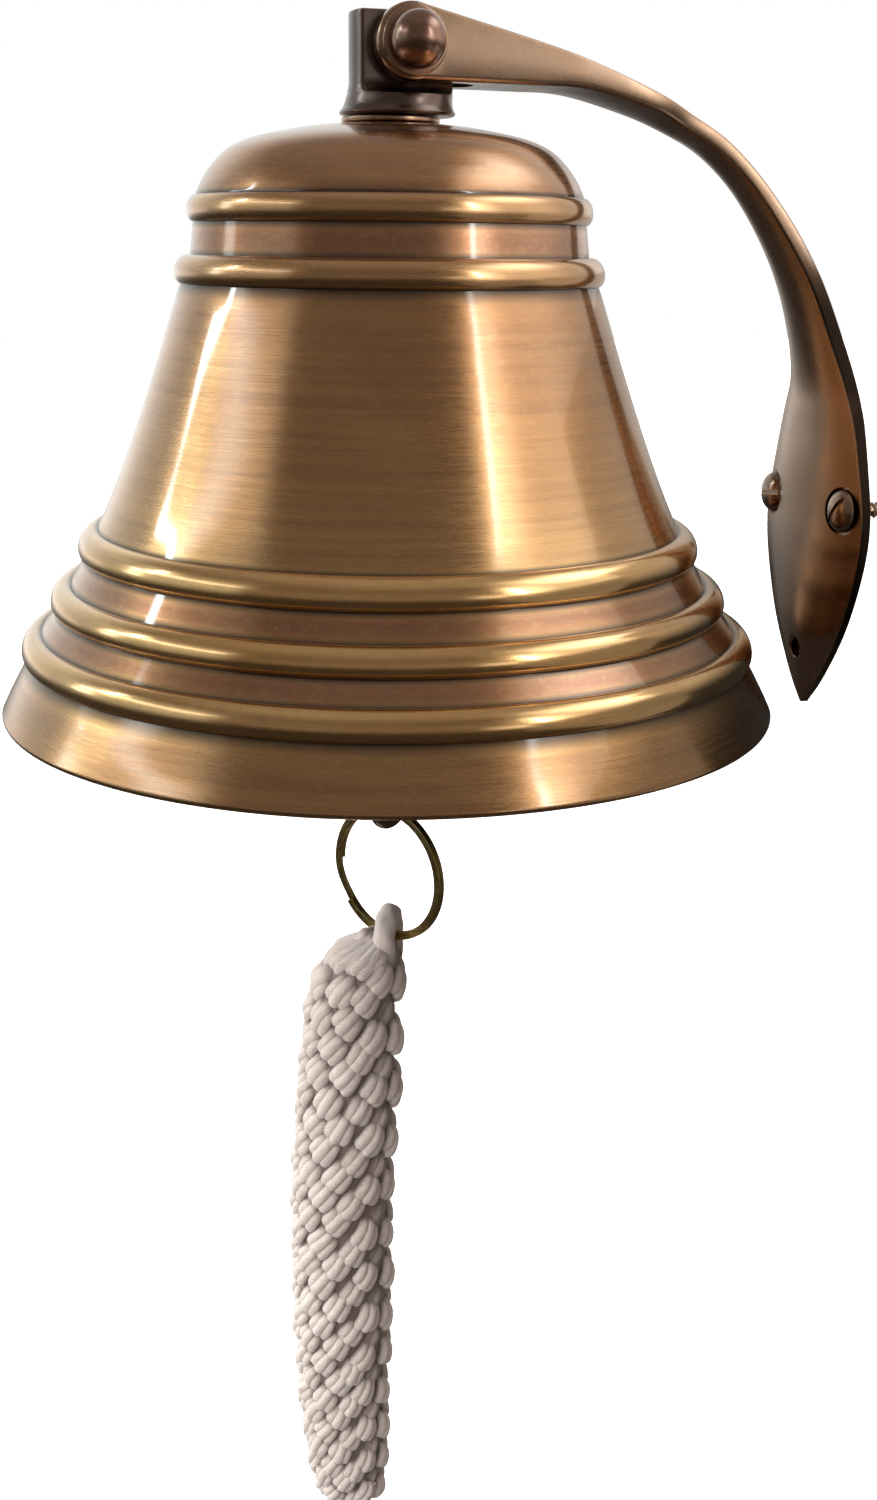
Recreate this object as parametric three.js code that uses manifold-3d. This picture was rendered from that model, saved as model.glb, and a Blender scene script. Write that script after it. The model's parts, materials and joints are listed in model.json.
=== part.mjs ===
// Wall-mounted ship bell: cast bracket, swinging bell, clapper on a link, split ring and rope lanyard.
// Millimetres. +Z is up, +Y points into the wall, X runs along the wall and along the pivot bolt.
// The origin lies on the back face of the bracket's leaf, midway between its two upper screws.
import * as THREE from 'three';
import { mergeVertices } from 'three/addons/utils/BufferGeometryUtils.js';
import Module from 'manifold-3d';

const wasm = await Module();
wasm.setup();

// ---- driving dimensions -------------------------------------------------------------------------
const GAP = 0.3; // clearance left between neighbouring pieces

const BELL_AXIS_Y = -111.5; // the bell's own axis, in front of the wall
const RIM_Z = -43.5; // plane of the bell's mouth
const BELL_HEIGHT = 128; // rim to the flat on the crown
const CROWN_HOLE_RADIUS = 4.4;

const PIVOT_Y = -109.2; // the pivot sits a little nearer the wall than the bell's axis
const PIVOT_Z = 100.5;
const EAR_RADIUS = 7.8; // rounded end of each fork ear
const FORK_HALF_WIDTH = 10;
const TONGUE_THICKNESS = 10; // along X, between the ears
const TONGUE_RADIUS = 11.2; // the tongue is a round bar with a flat milled on each side
const SLOT_HALF_WIDTH = TONGUE_THICKNESS / 2 + 0.4;
const SLOT_REACH = 16; // slot end, measured from the pivot towards the wall; clears the tongue as it swings

const BOLT_RADIUS = 3;
const STUD_RADIUS = 4;

const SCREW_SPREAD = 17; // each upper screw's distance from the centreline
const LOWER_HOLE_Z = -37;
const SCREW_SHANK_RADIUS = 2;
const SCREW_HEAD_RADIUS = 5.1;
const SCREW_SEAT_Y = -3.6; // flat seat cut into the domed leaf under each screw head

const LINK_WIRE = 1.6;
const EYE_WIRE = 2;
const BALL_RADIUS = 17;
const BALL_Z = -26;
const ROD_RADIUS = 3;

const RING_RADIUS = 16.2; // split ring, to the middle of its section
const RING_TURN = THREE.MathUtils.degToRad(32.5); // the ring's plane, turned from X towards +Y
const CORD_RADIUS = 2.8;
const BEND_Z = -185; // height at which the lanyard bends

// ---- small toolkit ------------------------------------------------------------------------------
function signedVolume(position, index) {
  const [a, b, c] = [new THREE.Vector3(), new THREE.Vector3(), new THREE.Vector3()];
  let total = 0;
  for (let i = 0; i < index.length; i += 3) {
    a.fromBufferAttribute(position, index[i]);
    b.fromBufferAttribute(position, index[i + 1]);
    c.fromBufferAttribute(position, index[i + 2]);
    total += a.dot(b.cross(c));
  }
  return total / 6;
}

// Any closed three.js geometry becomes a manifold solid with its faces turned outwards.
function solid(geometry) {
  const plain = geometry.clone();
  plain.deleteAttribute('normal');
  plain.deleteAttribute('uv');
  const merged = mergeVertices(plain, 1e-5);
  const source = merged.index.array;
  const index = [];
  for (let i = 0; i < source.length; i += 3) {
    const [a, b, c] = [source[i], source[i + 1], source[i + 2]];
    if (a !== b && b !== c && c !== a) {
      index.push(a, b, c);
    }
  }
  if (signedVolume(merged.attributes.position, index) < 0) {
    index.reverse();
  }
  const vertProperties = new Float32Array(merged.attributes.position.array);
  return new wasm.Manifold(new wasm.Mesh({ numProp: 3, vertProperties, triVerts: new Uint32Array(index) }));
}

function geometryOf(manifold) {
  const mesh = manifold.getMesh();
  const geometry = new THREE.BufferGeometry();
  geometry.setAttribute('position', new THREE.BufferAttribute(new Float32Array(mesh.vertProperties), 3));
  geometry.setIndex(new THREE.BufferAttribute(new Uint32Array(mesh.triVerts), 1));
  geometry.computeVertexNormals();
  return geometry;
}

// Outline points are [radius, height]; the solid of revolution stands along Z.
function turned(outline, segments) {
  const points = outline.map(([radius, height]) => new THREE.Vector2(radius, height));
  return new THREE.LatheGeometry(points, segments).rotateX(Math.PI / 2);
}

function tube(inner, outer, low, high, segments) {
  return turned([[inner, low], [outer, low], [outer, high], [inner, high], [inner, low]], segments);
}

function rod(radius, low, high, segments = 18) {
  return turned([[0, low], [radius, low], [radius, high], [0, high]], segments);
}

function box(sizeX, sizeY, sizeZ, x, y, z) {
  return new THREE.BoxGeometry(sizeX, sizeY, sizeZ).translate(x, y, z);
}

function hexagon(acrossFlats, low, high) {
  return rod(acrossFlats / Math.sqrt(3), low, high, 6);
}

// Stands a part made along Z onto the X axis, through the pivot.
function acrossPivot(geometry) {
  return geometry.rotateY(Math.PI / 2).translate(0, PIVOT_Y, PIVOT_Z);
}

// Joins equal rings of points into a skin; open runs are capped at both ends.
function loft(rings, closed = false) {
  const sides = rings[0].length;
  const points = rings.flat();
  const index = [];
  const runs = closed ? rings.length : rings.length - 1;
  for (let i = 0; i < runs; i++) {
    const here = i * sides;
    const there = ((i + 1) % rings.length) * sides;
    for (let j = 0; j < sides; j++) {
      const next = (j + 1) % sides;
      index.push(here + j, there + j, there + next, here + j, there + next, here + next);
    }
  }
  if (!closed) {
    const last = (rings.length - 1) * sides;
    const centres = [rings[0], rings.at(-1)].map((ring) => {
      const centre = ring.reduce((sum, point) => sum.add(point), new THREE.Vector3());
      return centre.divideScalar(sides);
    });
    points.push(...centres);
    for (let j = 0; j < sides; j++) {
      const next = (j + 1) % sides;
      index.push(points.length - 2, j, next, points.length - 1, last + next, last + j);
    }
  }
  const geometry = new THREE.BufferGeometry().setFromPoints(points);
  geometry.setIndex(index);
  return geometry;
}

// A round bar along a path in one plane; side is that plane's normal.
function roundBar(path, side, radius, sides, closed = false) {
  const count = path.length;
  const rings = path.map((point, i) => {
    const before = closed ? path[(i + count - 1) % count] : path[Math.max(i - 1, 0)];
    const after = closed ? path[(i + 1) % count] : path[Math.min(i + 1, count - 1)];
    const out = after.clone().sub(before).normalize().cross(side);
    return Array.from({ length: sides }, (_, k) => {
      const angle = (2 * Math.PI * k) / sides;
      const offset = out.clone().multiplyScalar(radius * Math.cos(angle));
      return point.clone().add(offset).addScaledVector(side, radius * Math.sin(angle));
    });
  });
  return loft(rings, closed);
}

// A round-wire ring: normal gives the way its hole faces.
function wireRing(centre, normal, radius, wire, steps = 24, sides = 8) {
  const across = new THREE.Vector3(0, 0, 1).cross(normal).normalize();
  const path = Array.from({ length: steps }, (_, i) => {
    const angle = (2 * Math.PI * i) / steps;
    const point = centre.clone().addScaledVector(across, radius * Math.cos(angle));
    point.z += radius * Math.sin(angle);
    return point;
  });
  return roundBar(path, normal, wire, sides, true);
}

// An arc between two crease points, bulging away from the bell's axis.
function bead([topRadius, topHeight], [lowRadius, lowHeight], proud, steps = 4) {
  const along = new THREE.Vector2(lowRadius - topRadius, lowHeight - topHeight);
  const out = new THREE.Vector2(-along.y, along.x).normalize();
  return Array.from({ length: steps + 1 }, (_, i) => {
    const angle = (Math.PI * i) / steps;
    const run = (1 - Math.cos(angle)) / 2;
    const rise = proud * Math.sin(angle);
    return [topRadius + along.x * run + out.x * rise, topHeight + along.y * run + out.y * rise];
  });
}

function curve(points, steps) {
  const path = new THREE.SplineCurve(points.map(([radius, height]) => new THREE.Vector2(radius, height)));
  return path.getPoints(steps).map((point) => [point.x, point.y]);
}

const bell = new THREE.Group();
const finishes = {
  castBronze: { color: 0x7b5233, roughness: 0.32, metalness: 1 },
  antiqueBrass: { color: 0x9c7443, roughness: 0.34, metalness: 1 },
  darkBronze: { color: 0x4f3324, roughness: 0.3, metalness: 1 },
  brightBrass: { color: 0xb08c46, roughness: 0.28, metalness: 1 },
  cotton: { color: 0xb5aa9f, roughness: 0.95, metalness: 0 },
};

function add(name, geometry, finish) {
  const mesh = new THREE.Mesh(geometry, new THREE.MeshStandardMaterial(finishes[finish]));
  mesh.name = name;
  bell.add(mesh);
}

// ---- wall bracket -------------------------------------------------------------------------------
// Stations run from the pivot, along the arm and down the leaf to its point. Each holds the back
// edge [y, z], the front edge [y, z], the half width and how far the front face is crowned.
const BRACKET_STATIONS = [
  { back: [-108.5, 108.2], front: [-108.5, 92.9], halfWidth: FORK_HALF_WIDTH, crown: 0 },
  { back: [-80.3, 101.4], front: [-82.5, 92.9], halfWidth: FORK_HALF_WIDTH, crown: 0 },
  { back: [-67.5, 97.7], front: [-69, 92.5], halfWidth: FORK_HALF_WIDTH, crown: 0.3 },
  { back: [-52.5, 92.2], front: [-54.5, 89], halfWidth: 9.4, crown: 0.6 },
  { back: [-43.5, 88.2], front: [-45.4, 85.4], halfWidth: 7.2, crown: 0.8 },
  { back: [-34, 83], front: [-36, 80.6], halfWidth: 6.5, crown: 0.9 },
  { back: [-24.7, 74.9], front: [-27, 72.9], halfWidth: 6.4, crown: 1 },
  { back: [-15.7, 64], front: [-18.6, 62.3], halfWidth: 7.2, crown: 1.2 },
  { back: [-8.9, 52.6], front: [-11.9, 51.2], halfWidth: 8.6, crown: 1.6 },
  { back: [-3.8, 40.3], front: [-7, 39.2], halfWidth: 10.4, crown: 2.2 },
  { back: [-0.8, 30], front: [-4, 29.3], halfWidth: 13.2, crown: 3 },
  { back: [0, 20.5], front: [-3, 20.5], halfWidth: 17.3, crown: 3.6 },
  { back: [0, 10], front: [-2.6, 10], halfWidth: 20.7, crown: 4 },
  { back: [0, -1], front: [-2.4, -1], halfWidth: 23.4, crown: 4.1 },
  { back: [0, -10.5], front: [-2.4, -10.5], halfWidth: 23.1, crown: 4.1 },
  { back: [0, -21.5], front: [-2.3, -21.5], halfWidth: 20, crown: 4 },
  { back: [0, -32.5], front: [-2.2, -32.5], halfWidth: 15, crown: 3.4 },
  { back: [0, -44.3], front: [-2, -44.3], halfWidth: 7.2, crown: 1.8 },
  { back: [0, -49.8], front: [-1.8, -49.8], halfWidth: 0.9, crown: 0.3 },
];
const STATION_STEPS = 3; // sections drawn from one station to the next
const FRONT_POINTS = 10; // strips across the front face

function bracketSections() {
  const through = (values) => new THREE.CatmullRomCurve3(values.map((value) => new THREE.Vector3(...value)));
  const backs = through(BRACKET_STATIONS.map(({ back }) => [0, ...back]));
  const fronts = through(BRACKET_STATIONS.map(({ front }) => [0, ...front]));
  const shapes = through(BRACKET_STATIONS.map(({ halfWidth, crown }, i) => [halfWidth, crown, 10 * i]));
  const count = (BRACKET_STATIONS.length - 1) * STATION_STEPS;
  return Array.from({ length: count + 1 }, (_, i) => {
    const back = backs.getPoint(i / count);
    const front = fronts.getPoint(i / count);
    const { x: halfWidth, y: crown } = shapes.getPoint(i / count);
    back.y = Math.min(back.y, 0);
    const out = front.clone().sub(back).normalize();
    const ring = [];
    for (let j = 0; j <= FRONT_POINTS; j++) {
      const side = (2 * j) / FRONT_POINTS - 1;
      const point = front.clone().addScaledVector(out, crown * (1 - side * side));
      point.x = side * halfWidth;
      ring.push(point);
    }
    ring.push(new THREE.Vector3(halfWidth, back.y, back.z), new THREE.Vector3(-halfWidth, back.y, back.z));
    return ring;
  });
}

function alongWall(geometry, x, z) {
  return geometry.rotateX(Math.PI / 2).translate(x, 0, z);
}

function wallBracket() {
  const earEnds = acrossPivot(rod(EAR_RADIUS, -FORK_HALF_WIDTH, FORK_HALF_WIDTH, 40));
  const boltHole = acrossPivot(rod(BOLT_RADIUS + GAP, -15, 15));
  const slotSweep = 40; // deep enough to run out past the ear ends and above and below the arm
  const slotCentreY = PIVOT_Y + SLOT_REACH - SLOT_HALF_WIDTH - slotSweep / 2;
  const slot = box(2 * SLOT_HALF_WIDTH, slotSweep, slotSweep, 0, slotCentreY, PIVOT_Z);
  const slotEnd = rod(SLOT_HALF_WIDTH, -slotSweep / 2, slotSweep / 2, 24);
  slotEnd.translate(0, PIVOT_Y + SLOT_REACH - SLOT_HALF_WIDTH, PIVOT_Z);
  let body = solid(loft(bracketSections())).add(solid(earEnds));
  body = body.subtract(solid(slot)).subtract(solid(slotEnd)).subtract(solid(boltHole));
  for (const side of [-1, 1]) {
    const hole = alongWall(rod(SCREW_SHANK_RADIUS + GAP, -20, 20), side * SCREW_SPREAD, 0);
    const seat = alongWall(rod(SCREW_HEAD_RADIUS + 0.6, -SCREW_SEAT_Y, 20, 24), side * SCREW_SPREAD, 0);
    body = body.subtract(solid(hole)).subtract(solid(seat));
  }
  const lowerHole = [[0, -5], [2.4, -5], [2.4, 4.4], [3.4, 5.4], [3.4, 12], [0, 12]];
  return body.subtract(solid(alongWall(turned(lowerHole, 18), 0, LOWER_HOLE_Z)));
}

// A slotted round-head wood screw; its point reaches back past the leaf, into the wall.
function wallScrew(side, slotAngle) {
  const head = curve([[SCREW_HEAD_RADIUS, 0], [4.5, 1.7], [2.6, 2.7], [0, 3]], 4);
  const shank = [[0, -24], [0.5, -22.5], [SCREW_SHANK_RADIUS, -17], [SCREW_SHANK_RADIUS, 0]];
  const screw = solid(turned([...shank, ...head], 16));
  const slot = box(12, 1.1, 3, 0, 0, 3.2).rotateZ(slotAngle);
  const placed = geometryOf(screw.subtract(solid(slot)));
  placed.rotateX(Math.PI / 2);
  return placed.translate(side * SCREW_SPREAD, SCREW_SEAT_Y - GAP, 0);
}

add('wall_bracket', geometryOf(wallBracket()), 'castBronze');
add('wall_screw_right', wallScrew(1, 0.9), 'castBronze');
add('wall_screw_left', wallScrew(-1, 0.1), 'castBronze');

// ---- pivot bolt and its hardware ----------------------------------------------------------------
const WASHER_INNER_X = FORK_HALF_WIDTH + GAP;
const WASHER_OUTER_X = WASHER_INNER_X + 1.1;
const BOLT_HEAD_X = WASHER_OUTER_X + GAP;
const BOLT_HEAD_RADIUS = 5.8;

function pivotBolt() {
  const headRise = 2.1; // the ball's centre above its flat seat
  const start = Math.asin(headRise / BOLT_HEAD_RADIUS);
  const steps = 8;
  const dome = Array.from({ length: steps + 1 }, (_, i) => {
    const angle = -start + ((start + Math.PI / 2) * i) / steps;
    const radius = i === steps ? 0 : BOLT_HEAD_RADIUS * Math.cos(angle);
    return [radius, BOLT_HEAD_X + headRise + BOLT_HEAD_RADIUS * Math.sin(angle)];
  });
  const shank = [[0, -17.4], [BOLT_RADIUS, -17.4], [BOLT_RADIUS, BOLT_HEAD_X]];
  return acrossPivot(turned([...shank, ...dome], 20));
}

// A domed cap nut: hexagon, then a cap, with a blind bore for the bolt's end.
function pivotNut() {
  const seat = WASHER_OUTER_X + GAP;
  const cap = curve([[4.6, seat + 4.5], [4.2, seat + 6.8], [2.6, seat + 8.6], [0, seat + 9.2]], 5);
  const dome = turned([[0, seat + 4], [4.6, seat + 4], ...cap], 18);
  const bore = rod(BOLT_RADIUS + GAP, seat - 1, 18);
  const nut = solid(hexagon(11, seat, seat + 4.8)).add(solid(dome)).subtract(solid(bore));
  return acrossPivot(geometryOf(nut).rotateX(Math.PI));
}

for (const [name, side] of [['pivot_washer_right', 1], ['pivot_washer_left', -1]]) {
  const ends = [side * WASHER_INNER_X, side * WASHER_OUTER_X];
  const washer = tube(BOLT_RADIUS + GAP, 7, Math.min(...ends), Math.max(...ends), 20);
  add(name, acrossPivot(geometryOf(solid(washer))), 'darkBronze');
}
add('pivot_bolt', geometryOf(solid(pivotBolt())), 'darkBronze');
add('pivot_nut', pivotNut(), 'darkBronze');

// ---- bell ---------------------------------------------------------------------------------------
// Outlines are [radius, height above the rim].
const DOME = [[12, BELL_HEIGHT], [26.9, 125.7], [35.1, 122.8], [39, 118.8], [41.6, 114.7], [42.1, 113.2]];
const WAIST = [[46.2, 94.5], [59, 55.5], [65.9, 42.1]]; // ends and control point of a quadratic curve
const BEADS = [
  { top: [42.1, 113.2], low: [42.9, 107.6], proud: 1.7 },
  { top: [43.7, 100.8], low: [46, 94.8], proud: 2.3 },
  { top: [65.9, 42.1], low: [69.2, 35.5], proud: 2.6 },
  { top: [72.4, 29.9], low: [75.9, 24], proud: 2.6 },
  { top: [79.4, 19.3], low: [82.7, 13.1], proud: 2.6 },
];
const LIP = [[85.8, 7.3], [88.3, 2.8], [89, 0.8], [88.3, 0], [87, 0]];
const INSIDE = [
  [84, 4.5], [74, 20], [67, 32], [59, 49], [50.3, 70], [42.5, 94], [39.3, 108], [37.8, 114.5],
  [33, 120.5], [20, 123.6],
];
const CROWN_INSIDE = 124.2;

function bellShell() {
  const [waistTop, waistControl, waistLow] = WAIST.map(([radius, height]) => new THREE.Vector2(radius, height));
  const waist = new THREE.QuadraticBezierCurve(waistTop, waistControl, waistLow).getPoints(4).slice(1, -1);
  const [neckTop, neckLow, ...skirt] = BEADS.map(({ top, low, proud }) => bead(top, low, proud));
  const outline = [
    [CROWN_HOLE_RADIUS, BELL_HEIGHT],
    ...curve(DOME, 7).slice(0, -1),
    ...neckTop,
    ...neckLow,
    ...waist.map(({ x, y }) => [x, y]),
    ...skirt.flat(),
    ...LIP,
    ...INSIDE,
    [CROWN_HOLE_RADIUS, CROWN_INSIDE],
    [CROWN_HOLE_RADIUS, BELL_HEIGHT],
  ];
  return turned(outline, 42).translate(0, BELL_AXIS_Y, RIM_Z);
}

add('bell_shell', geometryOf(solid(bellShell())), 'antiqueBrass');

// ---- hanger: block, stud, washers and nut through the bell's crown --------------------------------
const CROWN_Z = RIM_Z + BELL_HEIGHT;
const CROWN_WASHER_TOP = CROWN_Z + GAP + 1.2;
const FOOT_LOW = CROWN_WASHER_TOP + GAP;
const FOOT_HIGH = 89.8;
const FOOT_OFFSET = 1.5; // the foot leans with the tongue towards the wall
const TONGUE_TOP = PIVOT_Z + 6.5;
const INNER_WASHER_TOP = RIM_Z + CROWN_INSIDE - 0.6;
const INNER_WASHER_LOW = INNER_WASHER_TOP - 1.5;
const NUT_TOP = INNER_WASHER_LOW - GAP;
const NUT_LOW = NUT_TOP - 5;
const STUD_TOP = 92.5;
const STUD_LOW = 67;

function onBellAxis(geometry) {
  return geometry.translate(0, BELL_AXIS_Y, 0);
}

function hangerBlock() {
  const footOutline = [[0, FOOT_LOW], [12.4, FOOT_LOW], [12.2, FOOT_LOW + 1.2], [11.6, FOOT_HIGH - 0.8]];
  const foot = turned([...footOutline, [10.8, FOOT_HIGH], [0, FOOT_HIGH]], 28);
  foot.translate(0, BELL_AXIS_Y + FOOT_OFFSET, 0);
  const tongueHeight = TONGUE_TOP - FOOT_LOW - 1;
  const bar = rod(TONGUE_RADIUS, TONGUE_TOP - tongueHeight, TONGUE_TOP, 40).translate(0, PIVOT_Y, 0);
  const flats = box(TONGUE_THICKNESS, 3 * TONGUE_RADIUS, 3 * tongueHeight, 0, PIVOT_Y, TONGUE_TOP);
  const tongue = solid(bar).intersect(solid(flats));
  const studBore = onBellAxis(rod(STUD_RADIUS + GAP, FOOT_LOW - 5, STUD_TOP + GAP));
  const boltHole = acrossPivot(rod(BOLT_RADIUS + GAP, -15, 15));
  return solid(foot).add(tongue).subtract(solid(studBore)).subtract(solid(boltHole));
}

add('hanger_block', geometryOf(hangerBlock()), 'castBronze');
add('hanger_stud', geometryOf(solid(onBellAxis(rod(STUD_RADIUS, STUD_LOW, STUD_TOP)))), 'darkBronze');
const crownWasher = tube(STUD_RADIUS + GAP, 10.6, CROWN_Z + GAP, CROWN_WASHER_TOP, 28);
add('crown_washer', geometryOf(solid(onBellAxis(crownWasher))), 'antiqueBrass');
const innerWasher = tube(STUD_RADIUS + GAP, 9.5, INNER_WASHER_LOW, INNER_WASHER_TOP, 20);
add('inner_washer', geometryOf(solid(onBellAxis(innerWasher))), 'darkBronze');
const nutBore = rod(STUD_RADIUS + GAP, NUT_LOW - 2, NUT_TOP + 2);
const hangerNut = solid(hexagon(13, NUT_LOW, NUT_TOP)).subtract(solid(nutBore));
add('hanger_nut', onBellAxis(geometryOf(hangerNut)), 'darkBronze');

// ---- clapper: eye, link, rod, ball and tail -------------------------------------------------------
const X_AXIS = new THREE.Vector3(1, 0, 0);
const Y_AXIS = new THREE.Vector3(0, 1, 0);
const EYE_RADIUS = 6.2;
const EYE_CENTRE_Z = 57;
const EYE_LOW_Z = EYE_CENTRE_Z - EYE_RADIUS; // the link swings about this height
const LINK_TOP_Z = EYE_LOW_Z + EYE_WIRE + LINK_WIRE + GAP;
const LINK_BEND = 5; // radius of the link's two round ends
const LINK_LENGTH = 19;
const LINK_LOW_Z = LINK_TOP_Z - LINK_LENGTH; // the clapper sways about this height
const LOOP_RADIUS = 5.5;
const LOOP_CENTRE_Z = LINK_LOW_Z + LINK_WIRE + EYE_WIRE + GAP - LOOP_RADIUS;
const ROD_LOW = -56;
const BALL_REACH = Math.sqrt(BALL_RADIUS ** 2 - (ROD_RADIUS + GAP) ** 2);
const TAIL_TOP = BALL_Z - BALL_REACH - GAP;
const TAIL_EYE_RADIUS = 4.4;
const TAIL_EYE_WIRE = 1.8;
const TAIL_EYE_Z = -69.6;

function at(z) {
  return new THREE.Vector3(0, BELL_AXIS_Y, z);
}

function clapperEye() {
  const boss = onBellAxis(rod(5.5, EYE_CENTRE_Z + 5, NUT_LOW - GAP));
  const bore = onBellAxis(rod(STUD_RADIUS + GAP, STUD_LOW - GAP, NUT_TOP));
  return solid(boss).add(solid(wireRing(at(EYE_CENTRE_Z), Y_AXIS, EYE_RADIUS, EYE_WIRE))).subtract(solid(bore));
}

function clapperLink() {
  const steps = 8;
  const ends = [[LINK_TOP_Z - LINK_BEND, 0], [LINK_LOW_Z + LINK_BEND, Math.PI]];
  const path = ends.flatMap(([centreZ, start]) => Array.from({ length: steps + 1 }, (_, i) => {
    const angle = start + (Math.PI * i) / steps;
    return new THREE.Vector3(0, BELL_AXIS_Y + LINK_BEND * Math.cos(angle), centreZ + LINK_BEND * Math.sin(angle));
  }));
  return roundBar(path, X_AXIS, LINK_WIRE, 8, true);
}

function clapperRod() {
  const top = LOOP_CENTRE_Z - LOOP_RADIUS;
  const collarLow = BALL_Z + BALL_REACH + GAP;
  const outline = [
    [0, ROD_LOW], [ROD_RADIUS, ROD_LOW], [ROD_RADIUS, collarLow], [4.8, collarLow],
    [4.8, collarLow + 2], [ROD_RADIUS, collarLow + 4], [ROD_RADIUS, top], [0, top],
  ];
  const loop = wireRing(at(LOOP_CENTRE_Z), Y_AXIS, LOOP_RADIUS, EYE_WIRE);
  return solid(onBellAxis(turned(outline, 18))).add(solid(loop));
}

function clapperBall() {
  const bore = ROD_RADIUS + GAP;
  const end = Math.asin(BALL_REACH / BALL_RADIUS);
  const steps = 11;
  const outline = Array.from({ length: steps + 1 }, (_, i) => {
    const angle = -end + (2 * end * i) / steps;
    return [BALL_RADIUS * Math.cos(angle), BALL_Z + BALL_RADIUS * Math.sin(angle)];
  });
  return onBellAxis(turned([...outline, [bore, BALL_Z - BALL_REACH]], 24));
}

// The ring's plane holds Z and ringAlong.
const ringAlong = new THREE.Vector3(Math.cos(RING_TURN), Math.sin(RING_TURN), 0);

// A sleeve screwed onto the rod's end under the ball, closed by an eye for the split ring.
function clapperTail() {
  const eyeTop = TAIL_EYE_Z + TAIL_EYE_RADIUS;
  const outline = [
    [0, eyeTop], [2.6, eyeTop], [3.8, eyeTop + 3], [4.6, -58], [5.2, TAIL_TOP - 1.5], [4.6, TAIL_TOP], [0, TAIL_TOP],
  ];
  const bore = onBellAxis(rod(ROD_RADIUS + GAP, ROD_LOW - GAP, TAIL_TOP + 3));
  const eye = wireRing(at(TAIL_EYE_Z), ringAlong, TAIL_EYE_RADIUS, TAIL_EYE_WIRE);
  return solid(onBellAxis(turned(outline, 18))).add(solid(eye)).subtract(solid(bore));
}

add('clapper_eye', geometryOf(clapperEye()), 'darkBronze');
add('clapper_link', geometryOf(solid(clapperLink())), 'darkBronze');
add('clapper_rod', geometryOf(clapperRod()), 'darkBronze');
add('clapper_ball', geometryOf(solid(clapperBall())), 'antiqueBrass');
add('clapper_tail', geometryOf(clapperTail()), 'darkBronze');

// ---- split ring -----------------------------------------------------------------------------------
const RING_HALF_WIDTH = 1; // across the section, towards the ring's centre
const RING_HALF_THICKNESS = 0.9;
const RING_TOP_Z = TAIL_EYE_Z - TAIL_EYE_RADIUS + TAIL_EYE_WIRE + GAP + RING_HALF_WIDTH;
const RING_CENTRE_Z = RING_TOP_Z - RING_RADIUS;

function splitRing() {
  const inner = RING_RADIUS - RING_HALF_WIDTH;
  const outer = RING_RADIUS + RING_HALF_WIDTH;
  const ring = tube(inner, outer, -RING_HALF_THICKNESS, RING_HALF_THICKNESS, 48);
  ring.rotateX(Math.PI / 2).rotateZ(RING_TURN);
  return ring.translate(0, BELL_AXIS_Y, RING_CENTRE_Z);
}

add('split_ring', geometryOf(solid(splitRing())), 'brightBrass');

// ---- rope lanyard ---------------------------------------------------------------------------------
const RING_LOW_Z = RING_CENTRE_Z - RING_RADIUS;
const LOOP_BEND = RING_HALF_WIDTH + CORD_RADIUS + 1;
const LOOP_TURN = RING_TURN + THREE.MathUtils.degToRad(30); // the loop hangs a little skewed in the ring
const BRAID_TOP_Z = RING_LOW_Z - 4.2;

// One cord passes over the bottom of the ring and down into the head of the braid.
function lanyardLoop() {
  const steps = 8;
  const side = new THREE.Vector3(Math.cos(LOOP_TURN), Math.sin(LOOP_TURN), 0);
  const across = new THREE.Vector3(-Math.sin(LOOP_TURN), Math.cos(LOOP_TURN), 0);
  const foot = (end) => at(BRAID_TOP_Z + GAP).addScaledVector(across, end * LOOP_BEND);
  const arch = Array.from({ length: steps + 1 }, (_, i) => {
    const angle = (Math.PI * i) / steps;
    const point = at(RING_LOW_Z + LOOP_BEND * Math.sin(angle));
    return point.addScaledVector(across, LOOP_BEND * Math.cos(angle));
  });
  return roundBar([foot(1), ...arch, foot(-1)], side, CORD_RADIUS, 10);
}

// The braid's sections are [height, radius, distance out from the bell's axis].
const UPPER_BRAID = [
  [BRAID_TOP_Z, 7.5, 5], [-110.5, 10.8, 6.5], [-120, 12.3, 9], [-140, 13.6, 10.2], [-165, 13.6, 12],
  [-174, 12.8, 12.3], [-180, 9.6, 12.3], [-183.5, 5, 12.3], [BEND_Z + 0.5, 1, 12.3],
];
const LOWER_BRAID = [
  [BEND_Z - 0.5, 1, 12.3], [-186.5, 5, 12.3], [-190, 9.6, 12.3], [-196, 12.8, 12.4], [-206, 13.4, 12.5],
  [-237, 12, 12.2], [-254, 11.2, 11.2], [-261, 9.5, 10.9], [-266, 6.4, 10.7], [-268, 2.5, 10.7],
];

function braid(sections) {
  const sides = 16;
  return loft(sections.map(([height, radius, out]) => Array.from({ length: sides }, (_, k) => {
    const angle = (2 * Math.PI * k) / sides;
    const y = BELL_AXIS_Y - out + radius * Math.sin(angle);
    return new THREE.Vector3(radius * Math.cos(angle), y, height);
  })));
}

add('lanyard_loop', geometryOf(solid(lanyardLoop())), 'cotton');
add('lanyard_upper', geometryOf(solid(braid(UPPER_BRAID))), 'cotton');
add('lanyard_lower', geometryOf(solid(braid(LOWER_BRAID))), 'cotton');

export default bell;
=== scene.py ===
import json
import math
import random

import bmesh
import bpy
from mathutils import Matrix, Vector


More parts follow.
